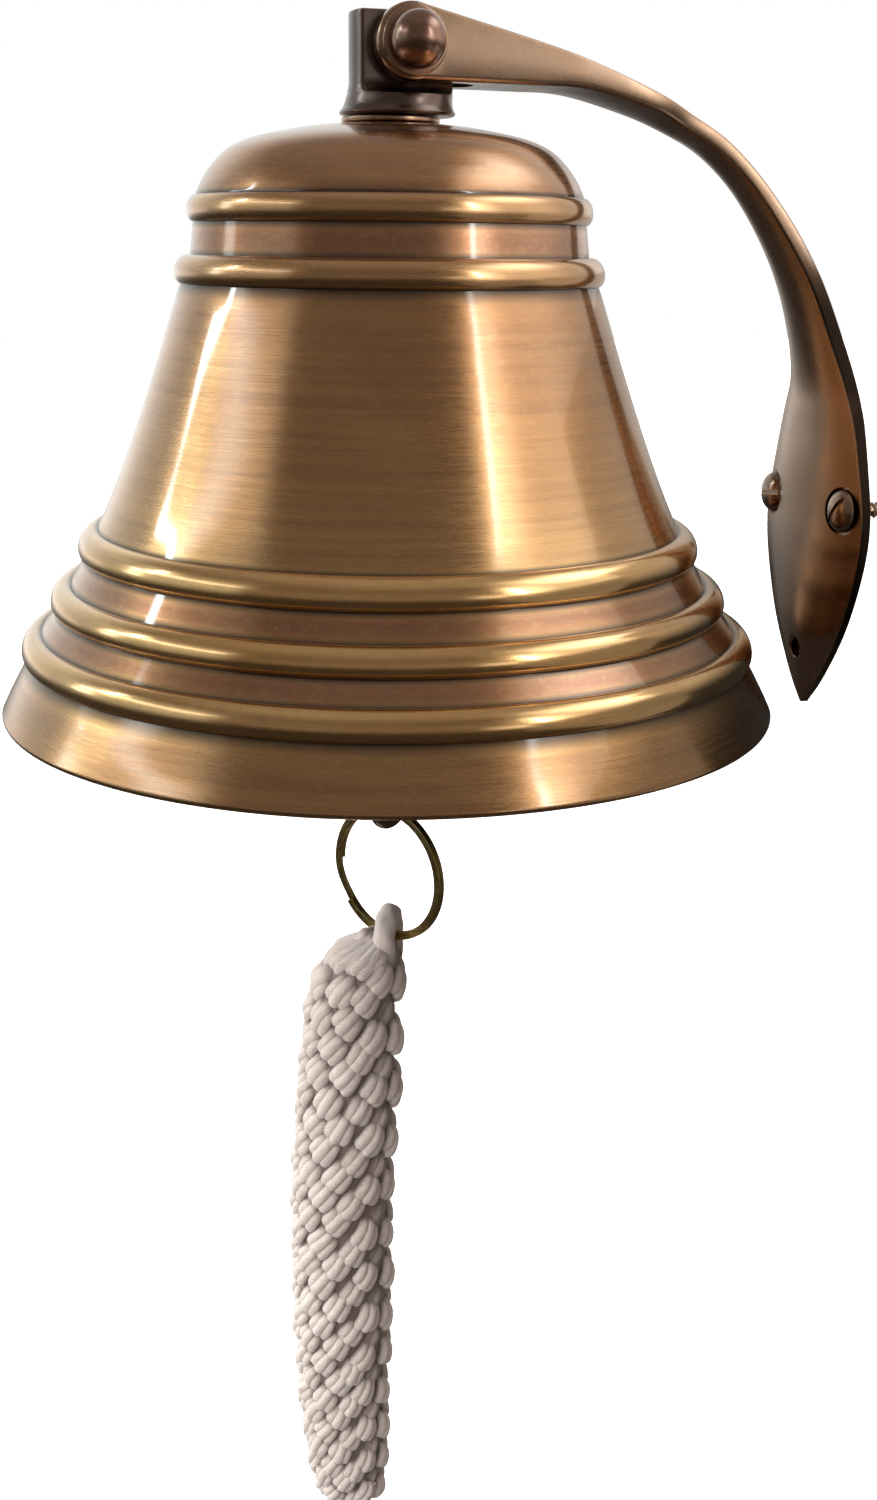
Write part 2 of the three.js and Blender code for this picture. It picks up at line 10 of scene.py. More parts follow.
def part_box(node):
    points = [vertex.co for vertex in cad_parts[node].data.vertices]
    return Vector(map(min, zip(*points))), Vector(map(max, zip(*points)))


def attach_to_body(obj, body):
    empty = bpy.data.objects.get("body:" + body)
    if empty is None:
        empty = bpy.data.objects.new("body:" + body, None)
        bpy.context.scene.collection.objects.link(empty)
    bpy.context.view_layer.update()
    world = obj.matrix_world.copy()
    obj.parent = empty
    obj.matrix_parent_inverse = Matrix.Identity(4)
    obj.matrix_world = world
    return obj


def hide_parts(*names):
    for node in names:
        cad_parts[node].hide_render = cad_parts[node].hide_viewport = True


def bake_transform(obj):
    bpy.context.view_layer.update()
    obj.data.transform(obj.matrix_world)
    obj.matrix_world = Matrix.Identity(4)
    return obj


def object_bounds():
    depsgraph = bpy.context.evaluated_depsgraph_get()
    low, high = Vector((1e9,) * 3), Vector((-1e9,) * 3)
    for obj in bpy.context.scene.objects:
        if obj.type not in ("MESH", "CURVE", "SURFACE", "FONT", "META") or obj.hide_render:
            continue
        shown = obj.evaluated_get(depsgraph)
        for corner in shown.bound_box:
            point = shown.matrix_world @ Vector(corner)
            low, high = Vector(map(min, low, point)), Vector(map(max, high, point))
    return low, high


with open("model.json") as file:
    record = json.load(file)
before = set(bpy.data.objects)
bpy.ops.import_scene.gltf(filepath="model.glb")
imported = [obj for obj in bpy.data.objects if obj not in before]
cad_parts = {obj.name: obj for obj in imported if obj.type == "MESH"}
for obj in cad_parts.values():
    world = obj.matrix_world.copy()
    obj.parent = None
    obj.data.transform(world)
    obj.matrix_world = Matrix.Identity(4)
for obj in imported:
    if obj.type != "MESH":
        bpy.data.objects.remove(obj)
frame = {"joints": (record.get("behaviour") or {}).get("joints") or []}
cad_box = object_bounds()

# Ship bell on a wall bracket: the looks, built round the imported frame. The frame is in metres;
# the shapes below are worked out in millimetres and scaled when their meshes are made.
# +Z is up, +Y points into the wall, X runs along the pivot bolt.
MM = 0.001
random.seed(7)


# ---- places taken from the frame ----
def joint(name):
    found = next(j for j in frame["joints"] if j["name"] == name)
    return Vector(found["pos_m"]) / MM, Vector(found["axis"]).normalized()


PIVOT, _ = joint("bell_swing")
EYE_POINT, _ = joint("link_swing")
LINK_POINT, _ = joint("clapper_sway")
_, RING_ALONG = joint("ring_swing")
RING_CENTRE, RING_NORMAL = joint("lanyard_swing")
AXIS_Y = EYE_POINT.y
ON_AXIS = 0, AXIS_Y
BELL_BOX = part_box("bell_shell")
RIM_Z = BELL_BOX[0].z / MM
UP = Vector((0, 0, 1))


# ---- the view, needed early because the braid and the light are turned to it ----
VIEW_TURN = math.radians(15.5)  # the camera stands off the pivot's axis, away from the wall
VIEW_DISTANCE = 388.8
VIEW_HEIGHT = RIM_Z + 104
VIEW_YAW = math.radians(1.75)
VIEW_PITCH = math.radians(16.678)
VIEW_ROLL = math.radians(0.65)
FOCAL = 40.7  # for a 36 mm sensor on the long side
TOWARDS_CAMERA = Vector((math.cos(VIEW_TURN), -math.sin(VIEW_TURN), 0))
CAMERA_RIGHT = Vector((math.sin(VIEW_TURN), math.cos(VIEW_TURN), 0))


# ---- mesh helpers ----
def tag(thing, key, values):
    """Stores a number on each point of a mesh, for its material to read."""
    layer = thing.data.attributes.new(key, "FLOAT", "POINT")
    layer.data.foreach_set("value", values)
    return thing


def mesh_object(name, points, faces, uvs=None):
    mesh = bpy.data.meshes.new(name)
    mesh.from_pydata([Vector(p) * MM for p in points], [], faces)
    mesh.validate()
    if uvs:
        layer = mesh.uv_layers.new(name="UVMap")
        for loop in mesh.loops:
            layer.data[loop.index].uv = uvs[loop.vertex_index]
    made = bpy.data.objects.new(name, mesh)
    bpy.context.scene.collection.objects.link(made)
    return made


def outward(thing):
    work = bmesh.new()
    work.from_mesh(thing.data)
    bmesh.ops.recalc_face_normals(work, faces=work.faces)
    work.to_mesh(thing.data)
    work.free()
    return thing


def smooth(thing, angle=30):
    thing.data.shade_smooth()
    thing.data.set_sharp_from_angle(angle=math.radians(angle))
    return thing


def tube_faces(rows, sides, closed=False):
    """Quads between rings of points, row after row; the two ends meet, or each gets a cap."""
    faces = []
    for i in range(rows if closed else rows - 1):
        for j in range(sides):
            a = i * sides + j
            b = i * sides + (j + 1) % sides
            c = ((i + 1) % rows) * sides + (j + 1) % sides
            d = ((i + 1) % rows) * sides + j
            faces.append((a, b, c, d))
    if not closed:
        faces += [tuple(range(sides)), tuple(reversed(range((rows - 1) * sides, rows * sides)))]
    return faces


def turned(name, outline, centre=(0, 0), sides=96, radius_at=None):
    """A solid of revolution round a vertical line; its outline of (radius, z) closes or gets flat ends."""
    closed = outline[0] == outline[-1]
    rings = outline[:-1] if closed else outline
    points, uvs = [], []
    length = 0
    for i, (radius, z) in enumerate(rings):
        length += math.dist(rings[i - 1], rings[i]) if i else 0
        for k in range(sides):
            angle = 2 * math.pi * k / sides
            r = radius_at(radius, z, angle) if radius_at else radius
            points.append((centre[0] + r * math.cos(angle), centre[1] + r * math.sin(angle), z))
            uvs.append((k / sides, length))
    return outward(mesh_object(name, points, tube_faces(len(rings), sides, closed), uvs))


def bar(radius, low, high, centre=(0, 0)):
    """A plain round bar along Z, to cut bores with."""
    return turned("bar", [(radius, low), (radius, high)], centre, sides=48)


def swept(name, path, side, section, closed=False, swell=None):
    """Sweeps a section of (across, along-side) offsets down a path; side is square to the whole path."""
    count = len(path)
    points, uvs = [], []
    length = 0
    for i, point in enumerate(path):
        before = path[i - 1] if closed or i else path[0]
        after = path[(i + 1) % count] if closed or i < count - 1 else path[-1]
        out = (after - before).normalized().cross(side).normalized()
        length += (point - path[i - 1]).length if i else 0
        for k, (across, along) in enumerate(section):
            size = swell(2 * math.pi * k / len(section), length) if swell else 1
            points.append(point + (out * across + side * along) * size)
            uvs.append((k / len(section), length))
    return outward(mesh_object(name, points, tube_faces(count, len(section), closed), uvs))


def circle(radius, sides=20):
    turn = 2 * math.pi / sides
    return [(radius * math.cos(turn * k), radius * math.sin(turn * k)) for k in range(sides)]


def arc(centre, radius, start, end, steps):
    """Points (r, z) on an arc, angles in degrees from the r axis."""
    found = []
    for i in range(steps + 1):
        angle = math.radians(start + (end - start) * i / steps)
        found.append((centre[0] + radius * math.cos(angle), centre[1] + radius * math.sin(angle)))
    return found


def spline(points, steps):
    """Catmull-Rom through the points, steps per span; works on tuples of any length."""
    found = []
    for i in range(len(points) - 1):
        p0, p1, p2 = points[max(i - 1, 0)], points[i], points[i + 1]
        p3 = points[min(i + 2, len(points) - 1)]
        for k in range(steps):
            t = k / steps
            found.append(tuple(
                b + 0.5 * t * (c - a + t * (2 * a - 5 * b + 4 * c - d + t * (3 * b - a - 3 * c + d)))
                for a, b, c, d in zip(p0, p1, p2, p3)))
    return found + [tuple(points[-1])]


def box(name, size, centre):
    points = [(centre[0] + size[0] * x, centre[1] + size[1] * y, centre[2] + size[2] * z)
              for x in (-0.5, 0.5) for y in (-0.5, 0.5) for z in (-0.5, 0.5)]
    faces = [(0, 1, 3, 2), (4, 6, 7, 5), (0, 4, 5, 1), (2, 3, 7, 6), (0, 2, 6, 4), (1, 5, 7, 3)]
    return outward(mesh_object(name, points, faces))


def turn_mesh(thing, matrix):
    thing.data.transform(matrix)
    thing.data.update()
    return thing


def onto_pivot(thing):
    """Lays a part made along Z onto the pivot's axis."""
    place = Matrix.Translation(PIVOT * MM) @ Matrix.Rotation(math.pi / 2, 4, "Y")
    return outward(turn_mesh(thing, place))


def to_y_axis(thing, x, z):
    """Lays a part made along Z so that its +Z points along -Y, out of the wall."""
    place = Matrix.Translation(Vector((x, 0, z)) * MM) @ Matrix.Rotation(math.pi / 2, 4, "X")
    return outward(turn_mesh(thing, place))


def combine(thing, tool, operation):
    modifier = thing.modifiers.new(operation, "BOOLEAN")
    modifier.operation = operation
    modifier.solver = "EXACT"
    modifier.object = tool
    settle(thing)
    mesh = tool.data
    bpy.data.objects.remove(tool)
    bpy.data.meshes.remove(mesh)
    return thing


def settle(thing):
    """Applies an object's modifiers to its mesh."""
    evaluated = thing.evaluated_get(bpy.context.evaluated_depsgraph_get())
    mesh = bpy.data.meshes.new_from_object(evaluated)
    old = thing.data
    thing.modifiers.clear()
    thing.data = mesh
    bpy.data.meshes.remove(old)
    return thing


def rounded(thing):
    """One level of subdivision, applied, and smooth shading."""
    modifier = thing.modifiers.new("round", "SUBSURF")
    modifier.levels = modifier.render_levels = 1
    settle(thing)
    thing.data.shade_smooth()
    return thing


def attach(thing, body, material, node):
    """Gives a piece its material and its body, and hides the CAD node that it stands in for."""
    thing.data.materials.clear()
    thing.data.materials.append(material)
    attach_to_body(thing, body)
    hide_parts(node)


# ---- materials ----
class Shader:
    """Keeps node graphs short: each call adds nodes and returns the last one's output."""

    def __init__(self, tree):
        self.tree = tree

    def node(self, kind, inputs=None, output=0, **settings):
        made = self.tree.nodes.new(kind)
        for key, value in settings.items():
            setattr(made, key, value)
        for key, value in (inputs or {}).items():
            self.feed(made, key, value)
        return None if output is None else made.outputs[output]

    def feed(self, target, key, value):
        if isinstance(value, bpy.types.NodeSocket):
            self.tree.links.new(value, target.inputs[key])
        else:
            target.inputs[key].default_value = value

    def math(self, operation, a, b=0.0, c=0.0):
        return self.node("ShaderNodeMath", {0: a, 1: b, 2: c}, operation=operation)

    def times(self, a, b):
        return self.math("MULTIPLY", a, b)

    def mix(self, factor, a, b, blend="MIX"):
        inputs = {0: factor, 6: a, 7: b}
        return self.node("ShaderNodeMix", inputs, output=2, data_type="RGBA", blend_type=blend)

    def level(self, value, low, high, to_low=0.0, to_high=1.0):
        """An eased step: to_low where value is under low, to_high where it is over high."""
        inputs = {"Value": value, 1: low, 2: high, 3: to_low, 4: to_high}
        return self.node("ShaderNodeMapRange", inputs, interpolation_type="SMOOTHSTEP")

    def where(self, source, scale=(1, 1, 1)):
        coordinates = self.node("ShaderNodeTexCoord", output=source)
        return self.node("ShaderNodeMapping", {"Vector": coordinates, "Scale": scale})

    def dot(self, a, b):
        return self.node("ShaderNodeVectorMath", {0: a, 1: b}, output="Value", operation="DOT_PRODUCT")

    def part_of(self, vector, axis):
        return self.node("ShaderNodeSeparateXYZ", {0: vector}, output="XYZ".index(axis))

    def noise(self, vector, scale, detail=4.0, roughness=0.55, distortion=0.0):
        inputs = {"Vector": vector, "Scale": scale, "Detail": detail, "Roughness": roughness,
                  "Distortion": distortion}
        return self.node("ShaderNodeTexNoise", inputs)

    def attribute(self, name):
        return self.node("ShaderNodeAttribute", output="Fac", attribute_name=name)

    def bump(self, height, distance, strength=1.0, normal=None):
        inputs = {"Height": height, "Distance": distance, "Strength": strength}
        if normal is not None:
            inputs["Normal"] = normal
        return self.node("ShaderNodeBump", inputs)


class MaterialShader(Shader):
    """The same for a new material and its Principled surface."""

    def __init__(self, name):
        self.material = bpy.data.materials.new(name)
        self.material.use_nodes = True
        super().__init__(self.material.node_tree)
        self.surface = self.tree.nodes["Principled BSDF"]

    def finish(self, **inputs):
        for key, value in inputs.items():
            self.feed(self.surface, key.replace("_", " "), value)
        return self.material


def worn_edges(s, width=1.2):
    """1 near an edge, where a normal rounded over that width differs from the true one."""
    eased = s.node("ShaderNodeBevel", {"Radius": width * MM}, samples=4)
    true = s.node("ShaderNodeNewGeometry", output="Normal")
    return s.level(s.dot(eased, true), 0.995, 0.9)


def bell_brass():
    """Antique brass off the lathe, under lacquer: golden where tone is 1, copper-brown where it is 0."""
    s = MaterialShader("bell_brass")
    streaks = s.noise(s.where("Object", scale=(9, 9, 420)), 1.0, detail=5, roughness=0.65)
    fine = s.noise(s.where("Object", scale=(60, 60, 2600)), 1.0, detail=4, roughness=0.7)
    cloud = s.noise(s.where("Object", scale=(1, 1, 1.5)), 30, detail=5, roughness=0.6, distortion=0.5)
    mottle = s.noise(s.where("Object", scale=(1, 1, 1.6)), 330, detail=4, roughness=0.7)
    speck = s.noise(s.where("Object"), 1100, detail=3, roughness=0.7)
    tone = s.attribute("tone")
    crease_patina_and_shade = s.attribute("crease_patina_and_shade")
    inside = s.attribute("inside")
    copper = s.mix(s.level(cloud, 0.35, 0.7), (0.45, 0.19, 0.084, 1), (0.54, 0.245, 0.108, 1))
    gold = s.mix(s.level(cloud, 0.3, 0.7), (0.88, 0.51, 0.18, 1), (0.97, 0.61, 0.24, 1))
    colour = s.mix(tone, copper, gold)
    colour = s.mix(s.level(streaks, 0.35, 0.75, 0.0, 0.4), colour, (0.24, 0.11, 0.055, 1))
    colour = s.mix(s.level(mottle, 0.48, 0.75, 0.0, 0.45), colour, (0.62, 0.38, 0.16, 1))
    colour = s.mix(s.level(speck, 0.55, 0.75, 0.0, 0.3), colour, (0.68, 0.44, 0.21, 1))
    # dark patina and painted shade along the bead creases
    colour = s.mix(s.times(crease_patina_and_shade, 0.92), colour, (0.02, 0.009, 0.006, 1))
    colour = s.mix(s.times(inside, 0.75), colour, (0.085, 0.05, 0.03, 1))
    rough = s.math("SUBTRACT", s.level(fine, 0.3, 0.75, 0.27, 0.37), s.times(tone, 0.1))
    rough = s.math("ADD", rough, s.times(crease_patina_and_shade, 0.3))
    rough = s.math("ADD", rough, s.times(inside, 0.2))
    normal = s.bump(streaks, 0.00003, 0.8)
    normal = s.bump(fine, 0.000014, 0.8, normal)
    normal = s.bump(mottle, 0.00002, 0.6, normal)
    round_the_axis = s.node("ShaderNodeTangent", direction_type="RADIAL", axis="Z")
    return s.finish(Base_Color=colour, Metallic=1.0, Roughness=rough, Normal=normal,
                    Tangent=round_the_axis, Anisotropic=0.6, Anisotropic_Rotation=0.25,
                    Coat_Weight=0.9, Coat_Roughness=0.06, Coat_IOR=1.75)


SIDE_SHADE_BELOW = 44  # painted shade darkens the bracket's sides up to this height and fades out by the next one
SIDE_SHADE_GONE_ABOVE = 70


def painted_side_shade(s):
    """1 on the sides of the casting's lower half, towards the wall, where shade is painted dark."""
    sideways = s.math("ABSOLUTE", s.part_of(s.where("Normal"), "X"))
    height = s.part_of(s.where("Object"), "Z")
    near_wall = s.level(height, SIDE_SHADE_BELOW * MM, SIDE_SHADE_GONE_ABOVE * MM, 1.0, 0.0)
    return s.times(s.level(sideways, 0.7, 0.93), near_wall)


def cast_bronze(name, dark, light, roughness, grain=0.6, rubbed=0.4, coat_roughness=0.1, sides=False):
    """Cast and polished brass with a brown patina; its edges may be rubbed brighter, and its sides may get
    painted shade.
    """
    s = MaterialShader(name)
    cloud = s.noise(s.where("Object"), 42, detail=5, roughness=0.6, distortion=0.4)
    mottle = s.noise(s.where("Object"), 300, detail=4, roughness=0.65)
    colour = s.mix(s.level(cloud, 0.25, 0.75), dark, light)
    colour = s.mix(s.level(mottle, 0.5, 0.85, 0.0, 0.2), colour, dark)
    if rubbed:
        colour = s.mix(s.times(worn_edges(s), rubbed), colour, (0.60, 0.40, 0.22, 1))
    coat = 0.7
    if sides:
        side_shade = painted_side_shade(s)
        # painted shade: the lower sides go near black and lose most of their coat
        colour = s.mix(s.times(side_shade, 0.93), colour, (0.018, 0.010, 0.008, 1))
        coat = s.level(side_shade, 0.0, 1.0, coat, 0.15)
    if grain:
        pits = s.noise(s.where("Object"), 1500, detail=2, roughness=0.6)
        normal = s.bump(mottle, 0.000012 * grain, 0.4)
        s.finish(Normal=s.bump(pits, 0.000002 * grain, 0.4, normal))
    rough = s.level(s.noise(s.where("Object"), 120, detail=4), 0.3, 0.7, roughness - 0.04, roughness + 0.07)
    return s.finish(Base_Color=colour, Metallic=1.0, Roughness=rough, Coat_Weight=coat,
                    Coat_Roughness=coat_roughness, Coat_IOR=1.7)


def ring_brass():
    """Flat spring wire with drawing lines along it."""
    s = MaterialShader("ring_brass")
    lines = s.noise(s.where("UV", scale=(30, 0.08, 1)), 4, detail=3)
    tarnish = s.noise(s.where("Object"), 260, detail=4)
    colour = s.mix(s.level(tarnish, 0.35, 0.7), (0.50, 0.36, 0.13, 1), (0.74, 0.58, 0.26, 1))
    rough = s.level(lines, 0.3, 0.7, 0.2, 0.36)
    return s.finish(Base_Color=colour, Metallic=1.0, Roughness=rough, Normal=s.bump(lines, 0.00003, 0.8))


def cotton():
    """Soft laid cotton cord: twisted yarns, stray fibre, and painted shade down in the gaps."""
    s = MaterialShader("cotton_rope")
    twist = {"Vector": s.where("UV", scale=(9, 0.9, 1)), "Scale": 0.7, "Distortion": 2.2, "Detail": 3.0,
             "Detail Scale": 2.0}
    yarn = s.node("ShaderNodeTexWave", twist, output="Fac", bands_direction="DIAGONAL")
    fibre = s.noise(s.where("Object", scale=(1, 1, 0.6)), 2600, detail=5, roughness=0.75)
    lumps = s.noise(s.where("Object"), 420, detail=3)
    dirt = s.noise(s.where("Object"), 70, detail=4)
    shade_depth = s.attribute("shade_depth")
    colour = s.mix(s.level(dirt, 0.3, 0.7), (0.60, 0.535, 0.49, 1), (0.69, 0.635, 0.585, 1))
    colour = s.mix(s.level(fibre, 0.35, 0.7, 0.0, 0.4), colour, (0.50, 0.43, 0.38, 1))
    colour = s.mix(s.level(yarn, 0.0, 0.45, 0.12, 0.0), colour, (0.34, 0.27, 0.235, 1))
    # painted shade: darker the deeper a point lies in the gaps
    colour = s.mix(s.level(shade_depth, 0.15, 0.75, 0.0, 0.82), colour, (0.12, 0.075, 0.058, 1))
    normal = s.bump(lumps, 0.0004, 0.5)
    normal = s.bump(yarn, 0.00010, 0.5, normal)
    normal = s.bump(fibre, 0.00016, 0.9, normal)
    return s.finish(Base_Color=colour, Roughness=0.92, Normal=normal, Sheen_Weight=0.5,
                    Sheen_Roughness=0.5, Subsurface_Weight=0.12,
                    Subsurface_Radius=(0.0012, 0.0009, 0.0007))


BELL_BRASS = bell_brass()
# the bracket's lower sides get painted shade
BRACKET_BRONZE = cast_bronze("bracket_bronze", (0.36, 0.215, 0.127, 1), (0.39, 0.24, 0.145, 1), 0.26,
                             grain=0, rubbed=0, coat_roughness=0.2, sides=True)
BLOCK_BRONZE = cast_bronze("block_bronze", (0.075, 0.042, 0.032, 1), (0.13, 0.078, 0.06, 1), 0.32,
                           rubbed=0, coat_roughness=0.22)
HARDWARE_BRONZE = cast_bronze("hardware_bronze", (0.20, 0.095, 0.06, 1), (0.34, 0.185, 0.12, 1), 0.3)
SCREW_BRONZE = cast_bronze("screw_bronze", (0.2, 0.11, 0.07, 1), (0.38, 0.235, 0.15, 1), 0.25, grain=1.2)
CLAPPER_BRONZE = cast_bronze("clapper_bronze", (0.14, 0.075, 0.045, 1), (0.32, 0.195, 0.115, 1), 0.28,
                             grain=1.2)
CLAPPER_BRASS = cast_bronze("clapper_brass", (0.30, 0.17, 0.08, 1), (0.52, 0.34, 0.15, 1), 0.27, grain=1)
RING_BRASS = ring_brass()
COTTON = cotton()

# ---- bell ----
# Outlines are (radius, height above the rim).
BELL_HEIGHT = BELL_BOX[1].z / MM - RIM_Z
CROWN_HOLE = 4.4
DOME = [(12, BELL_HEIGHT), (19.5, 127.1), (26.9, 125.7), (31.6, 124.4), (35.6, 122.3), (38.8, 119.1),
        (40.8, 116.2), (41.9, 113.9), (42.1, 113.2)]
WAIST = [(46.2, 94.5), (59, 55.5), (65.9, 42.1)]  # ends and control point of a quadratic curve
BEADS = [((42.1, 113.2), (42.9, 107.6), 1.7), ((43.7, 100.8), (46, 94.8), 2.3),
         ((65.9, 42.1), (69.2, 35.5), 2.6), ((72.4, 29.9), (75.9, 24), 2.6),
         ((79.4, 19.3), (82.7, 13.1), 2.6)]  # upper end, lower end, how proud
UPPER_BEADS = 2  # the waist comes after these
LIP = [(84.1, 10.4), (85.8, 7.3), (87.3, 4.5), (88.3, 2.5), (88.95, 1.2)]
RIM_EDGE = 1.2  # the rim's rounding
CROWN_INSIDE = 124.2
INSIDE = [(87, 0.2), (84, 4.5), (74, 20), (67, 32), (59, 49), (50.3, 70), (42.5, 94), (39.3, 108),
          (37.8, 114.5), (33, 120.5), (20, 123.6), (CROWN_HOLE, CROWN_INSIDE)]
CREASE_REACH = 0.75  # how far dark patina and painted shade spread from a crease
# How golden each stretch is polished, from 0 to 1; the waist goes from its first tone to its second.
HOLE_TONE = 0.25
DOME_TONE = 0.2
UPPER_BEAD_TONE = 0.5
WAIST_TONES = 0.22, 0.62
LOWER_BEAD_TONE = 1.0
BETWEEN_TONE = 0.0
LIP_TONE = 0.38
INSIDE_TONE = 0.3


def bead_arc(top, low, proud, steps=18):
    """Half an ellipse that stands proud of the line from top to low."""
    run = Vector(low) - Vector(top)
    out = Vector((-run.y, run.x)).normalized()
    found = []
    for i in range(steps + 1):
        angle = math.pi * i / steps
        found.append(tuple(Vector(top) + run * (1 - math.cos(angle)) / 2 + out * proud * math.sin(angle)))
    return found


def waist_curve(steps=30):
    a, b, c = (Vector(p) for p in WAIST)
    return [tuple(a * (1 - t) ** 2 + b * 2 * t * (1 - t) + c * t * t)
            for t in (i / steps for i in range(1, steps))]


def between(a, b, steps=5):
    a, b = Vector(a), Vector(b)
    return [tuple(a.lerp(b, i / steps)) for i in range(1, steps)]


def bell_shell():
    profile, tone = [(CROWN_HOLE, BELL_HEIGHT)], [HOLE_TONE]

    def extend(points, value):
        profile.extend(points)
        tone.extend([value] * len(points))

    extend(spline(DOME, 5)[:-1], DOME_TONE)
    for i, bead in enumerate(BEADS):
        extend(bead_arc(*bead), UPPER_BEAD_TONE if i < UPPER_BEADS else LOWER_BEAD_TONE)
        if i == UPPER_BEADS - 1:
            waist = waist_curve()
            for k, point in enumerate(waist):
                extend([point], WAIST_TONES[0] + (WAIST_TONES[1] - WAIST_TONES[0]) * k / len(waist))
        elif i < len(BEADS) - 1:
            extend(between(bead[1], BEADS[i + 1][0]), BETWEEN_TONE)
    extend(spline(LIP, 3), LIP_TONE)
    extend(arc((LIP[-1][0] - RIM_EDGE, RIM_EDGE), RIM_EDGE, 0, -90, 5)[1:], LIP_TONE)
    outer = len(profile)
    extend(spline(INSIDE, 6), INSIDE_TONE)
    creases = [end for top, low, _ in BEADS for end in (top, low)]
    nearest = [min(math.dist(p, c) for c in creases) for p in profile]
    # the dark mark at each bead crease: partly patina, partly painted shade
    crease_patina_and_shade = [math.exp(-(d / CREASE_REACH) ** 2) if i < outer else 0.0 for i, d in enumerate(nearest)]
    inside = [float(i >= outer) for i in range(len(profile))]
    # tones soften over a couple of points, so patina has no hard edge
    tone = [(tone[max(i - 1, 0)] + 2 * v + tone[min(i + 1, len(tone) - 1)]) / 4 for i, v in enumerate(tone)]
    outline = [(r, RIM_Z + h) for r, h in profile]
    sides = 288
    shell = turned("bell_shell_turned", outline + outline[:1], ON_AXIS, sides)
    for key, values in (("tone", tone), ("crease_patina_and_shade", crease_patina_and_shade), ("inside", inside)):
        tag(shell, key, [v for v in values for _ in range(sides)])
    attach(smooth(shell, 50), "bell", BELL_BRASS, "bell_shell")


# ---- bracket ----
# Stations from the pivot to the leaf's point: back edge (y, z), front edge (y, z), half width, crown.
STATIONS = [
    (-108.5, 108.2, -108.5, 92.9, 10, 0), (-80.3, 101.4, -82.5, 92.9, 10, 0),
    (-67.5, 97.7, -69, 92.5, 10, 0.3), (-52.5, 92.2, -54.5, 89, 9.4, 0.6),
    (-43.5, 88.2, -45.4, 85.4, 7.2, 0.8), (-34, 83, -36, 80.6, 6.5, 0.9),
    (-24.7, 74.9, -27, 72.9, 6.4, 1), (-15.7, 64, -18.6, 62.3, 7.2, 1.2),
    (-8.9, 52.6, -11.9, 51.2, 8.6, 1.6), (-3.8, 40.3, -7, 39.2, 10.4, 2.2),
    (-0.8, 30, -4, 29.3, 13.2, 3), (0, 20.5, -3, 20.5, 17.3, 3.6), (0, 10, -2.6, 10, 20.7, 4),
    (0, -1, -2.4, -1, 23.4, 4.1), (0, -10.5, -2.4, -10.5, 23.1, 4.1), (0, -21.5, -2.3, -21.5, 20, 4),
    (0, -32.5, -2.2, -32.5, 15, 3.4), (0, -44.3, -2, -44.3, 7.0, 1.8), (0, -51.4, -1.8, -51.4, 0.6, 0.2),
]
FORK_HALF_WIDTH = STATIONS[0][4]
EAR_RADIUS = 7.8
SLOT_HALF_WIDTH = 5.4
SLOT_REACH = 16
BOLT_RADIUS = 3
GAP = 0.3
SCREW_SPREAD = 17
SCREW_HEAD_RADIUS = 5.1
SCREW_SEAT = 3.6
LOWER_HOLE_Z = -37


def corner(centre, radius, start, steps=4):
    return arc(centre, radius, start, start + 90, steps)


def bracket_section(back, front, half_width, crown):
    """A ring of points round the bar: flat back, rounded edges, crowned front."""
    thick = (front - back).length
    out = (front - back).normalized()
    edge = min(1.1, 0.3 * thick, 0.4 * half_width)
    heel = min(edge, 0.5)

    def face(x):
        return thick + crown * (1 - (x / half_width) ** 2)

    flat = half_width - edge
    shoulder = face(flat) - edge
    ring = corner((half_width - heel, heel), heel, -90)
    ring += corner((flat, shoulder), edge, 0)
    ring += [(flat * (1 - k / 12), face(flat * (1 - k / 12))) for k in range(1, 24)]
    ring += corner((-flat, shoulder), edge, 90)
    ring += corner((heel - half_width, heel), heel, 180)
    return [back + out * height + Vector((x, 0, 0)) for x, height in ring]


def bracket_body():
    points, sides = [], 0
    for back_y, back_z, front_y, front_z, half_width, crown in spline(STATIONS, 7):
        back = Vector((0, min(back_y, 0), back_z))
        ring = bracket_section(back, Vector((0, front_y, front_z)), half_width, crown)
        sides = len(ring)
        points += ring
    return outward(mesh_object("wall_bracket_cast", points, tube_faces(len(points) // sides, sides)))


def wall_bracket():
    body = bracket_body()
    half, edge = FORK_HALF_WIDTH, 1.0
    outline = [(0.001, -half)] + arc((EAR_RADIUS - edge, edge - half), edge, -90, 0, 4)
    outline += arc((EAR_RADIUS - edge, half - edge), edge, 0, 90, 4) + [(0.001, half)]
    combine(body, onto_pivot(turned("ears", outline)), "UNION")
    # the fork's slot is open at the pivot and round at its inner end
    sweep = 40
    slot_y = PIVOT.y + SLOT_REACH - SLOT_HALF_WIDTH
    slot = box("slot", (2 * SLOT_HALF_WIDTH, sweep, sweep), (0, slot_y - sweep / 2, PIVOT.z))
    slot_end = [(SLOT_HALF_WIDTH, PIVOT.z - sweep), (SLOT_HALF_WIDTH, PIVOT.z + sweep)]
    combine(slot, turned("slot_end", slot_end, (0, slot_y)), "UNION")
    combine(body, slot, "DIFFERENCE")
    combine(body, onto_pivot(bar(BOLT_RADIUS + GAP, -2 * half, 2 * half)), "DIFFERENCE")
    behind, mouth = -9, SCREW_HEAD_RADIUS + 0.6
    seat = [(2.3, behind), (2.3, SCREW_SEAT), (mouth, SCREW_SEAT), (mouth + 0.3, 20)]
    for side in (-1, 1):
        combine(body, to_y_axis(turned("seat", seat, sides=64), side * SCREW_SPREAD, 0), "DIFFERENCE")
    lower = [(2.4, behind), (2.4, 4.4), (3.6, 5.8), (4.4, 9)]
    combine(body, to_y_axis(turned("hole", lower, sides=48), 0, LOWER_HOLE_Z), "DIFFERENCE")
    attach(smooth(body, 32), "bracket", BRACKET_BRONZE, "wall_bracket")


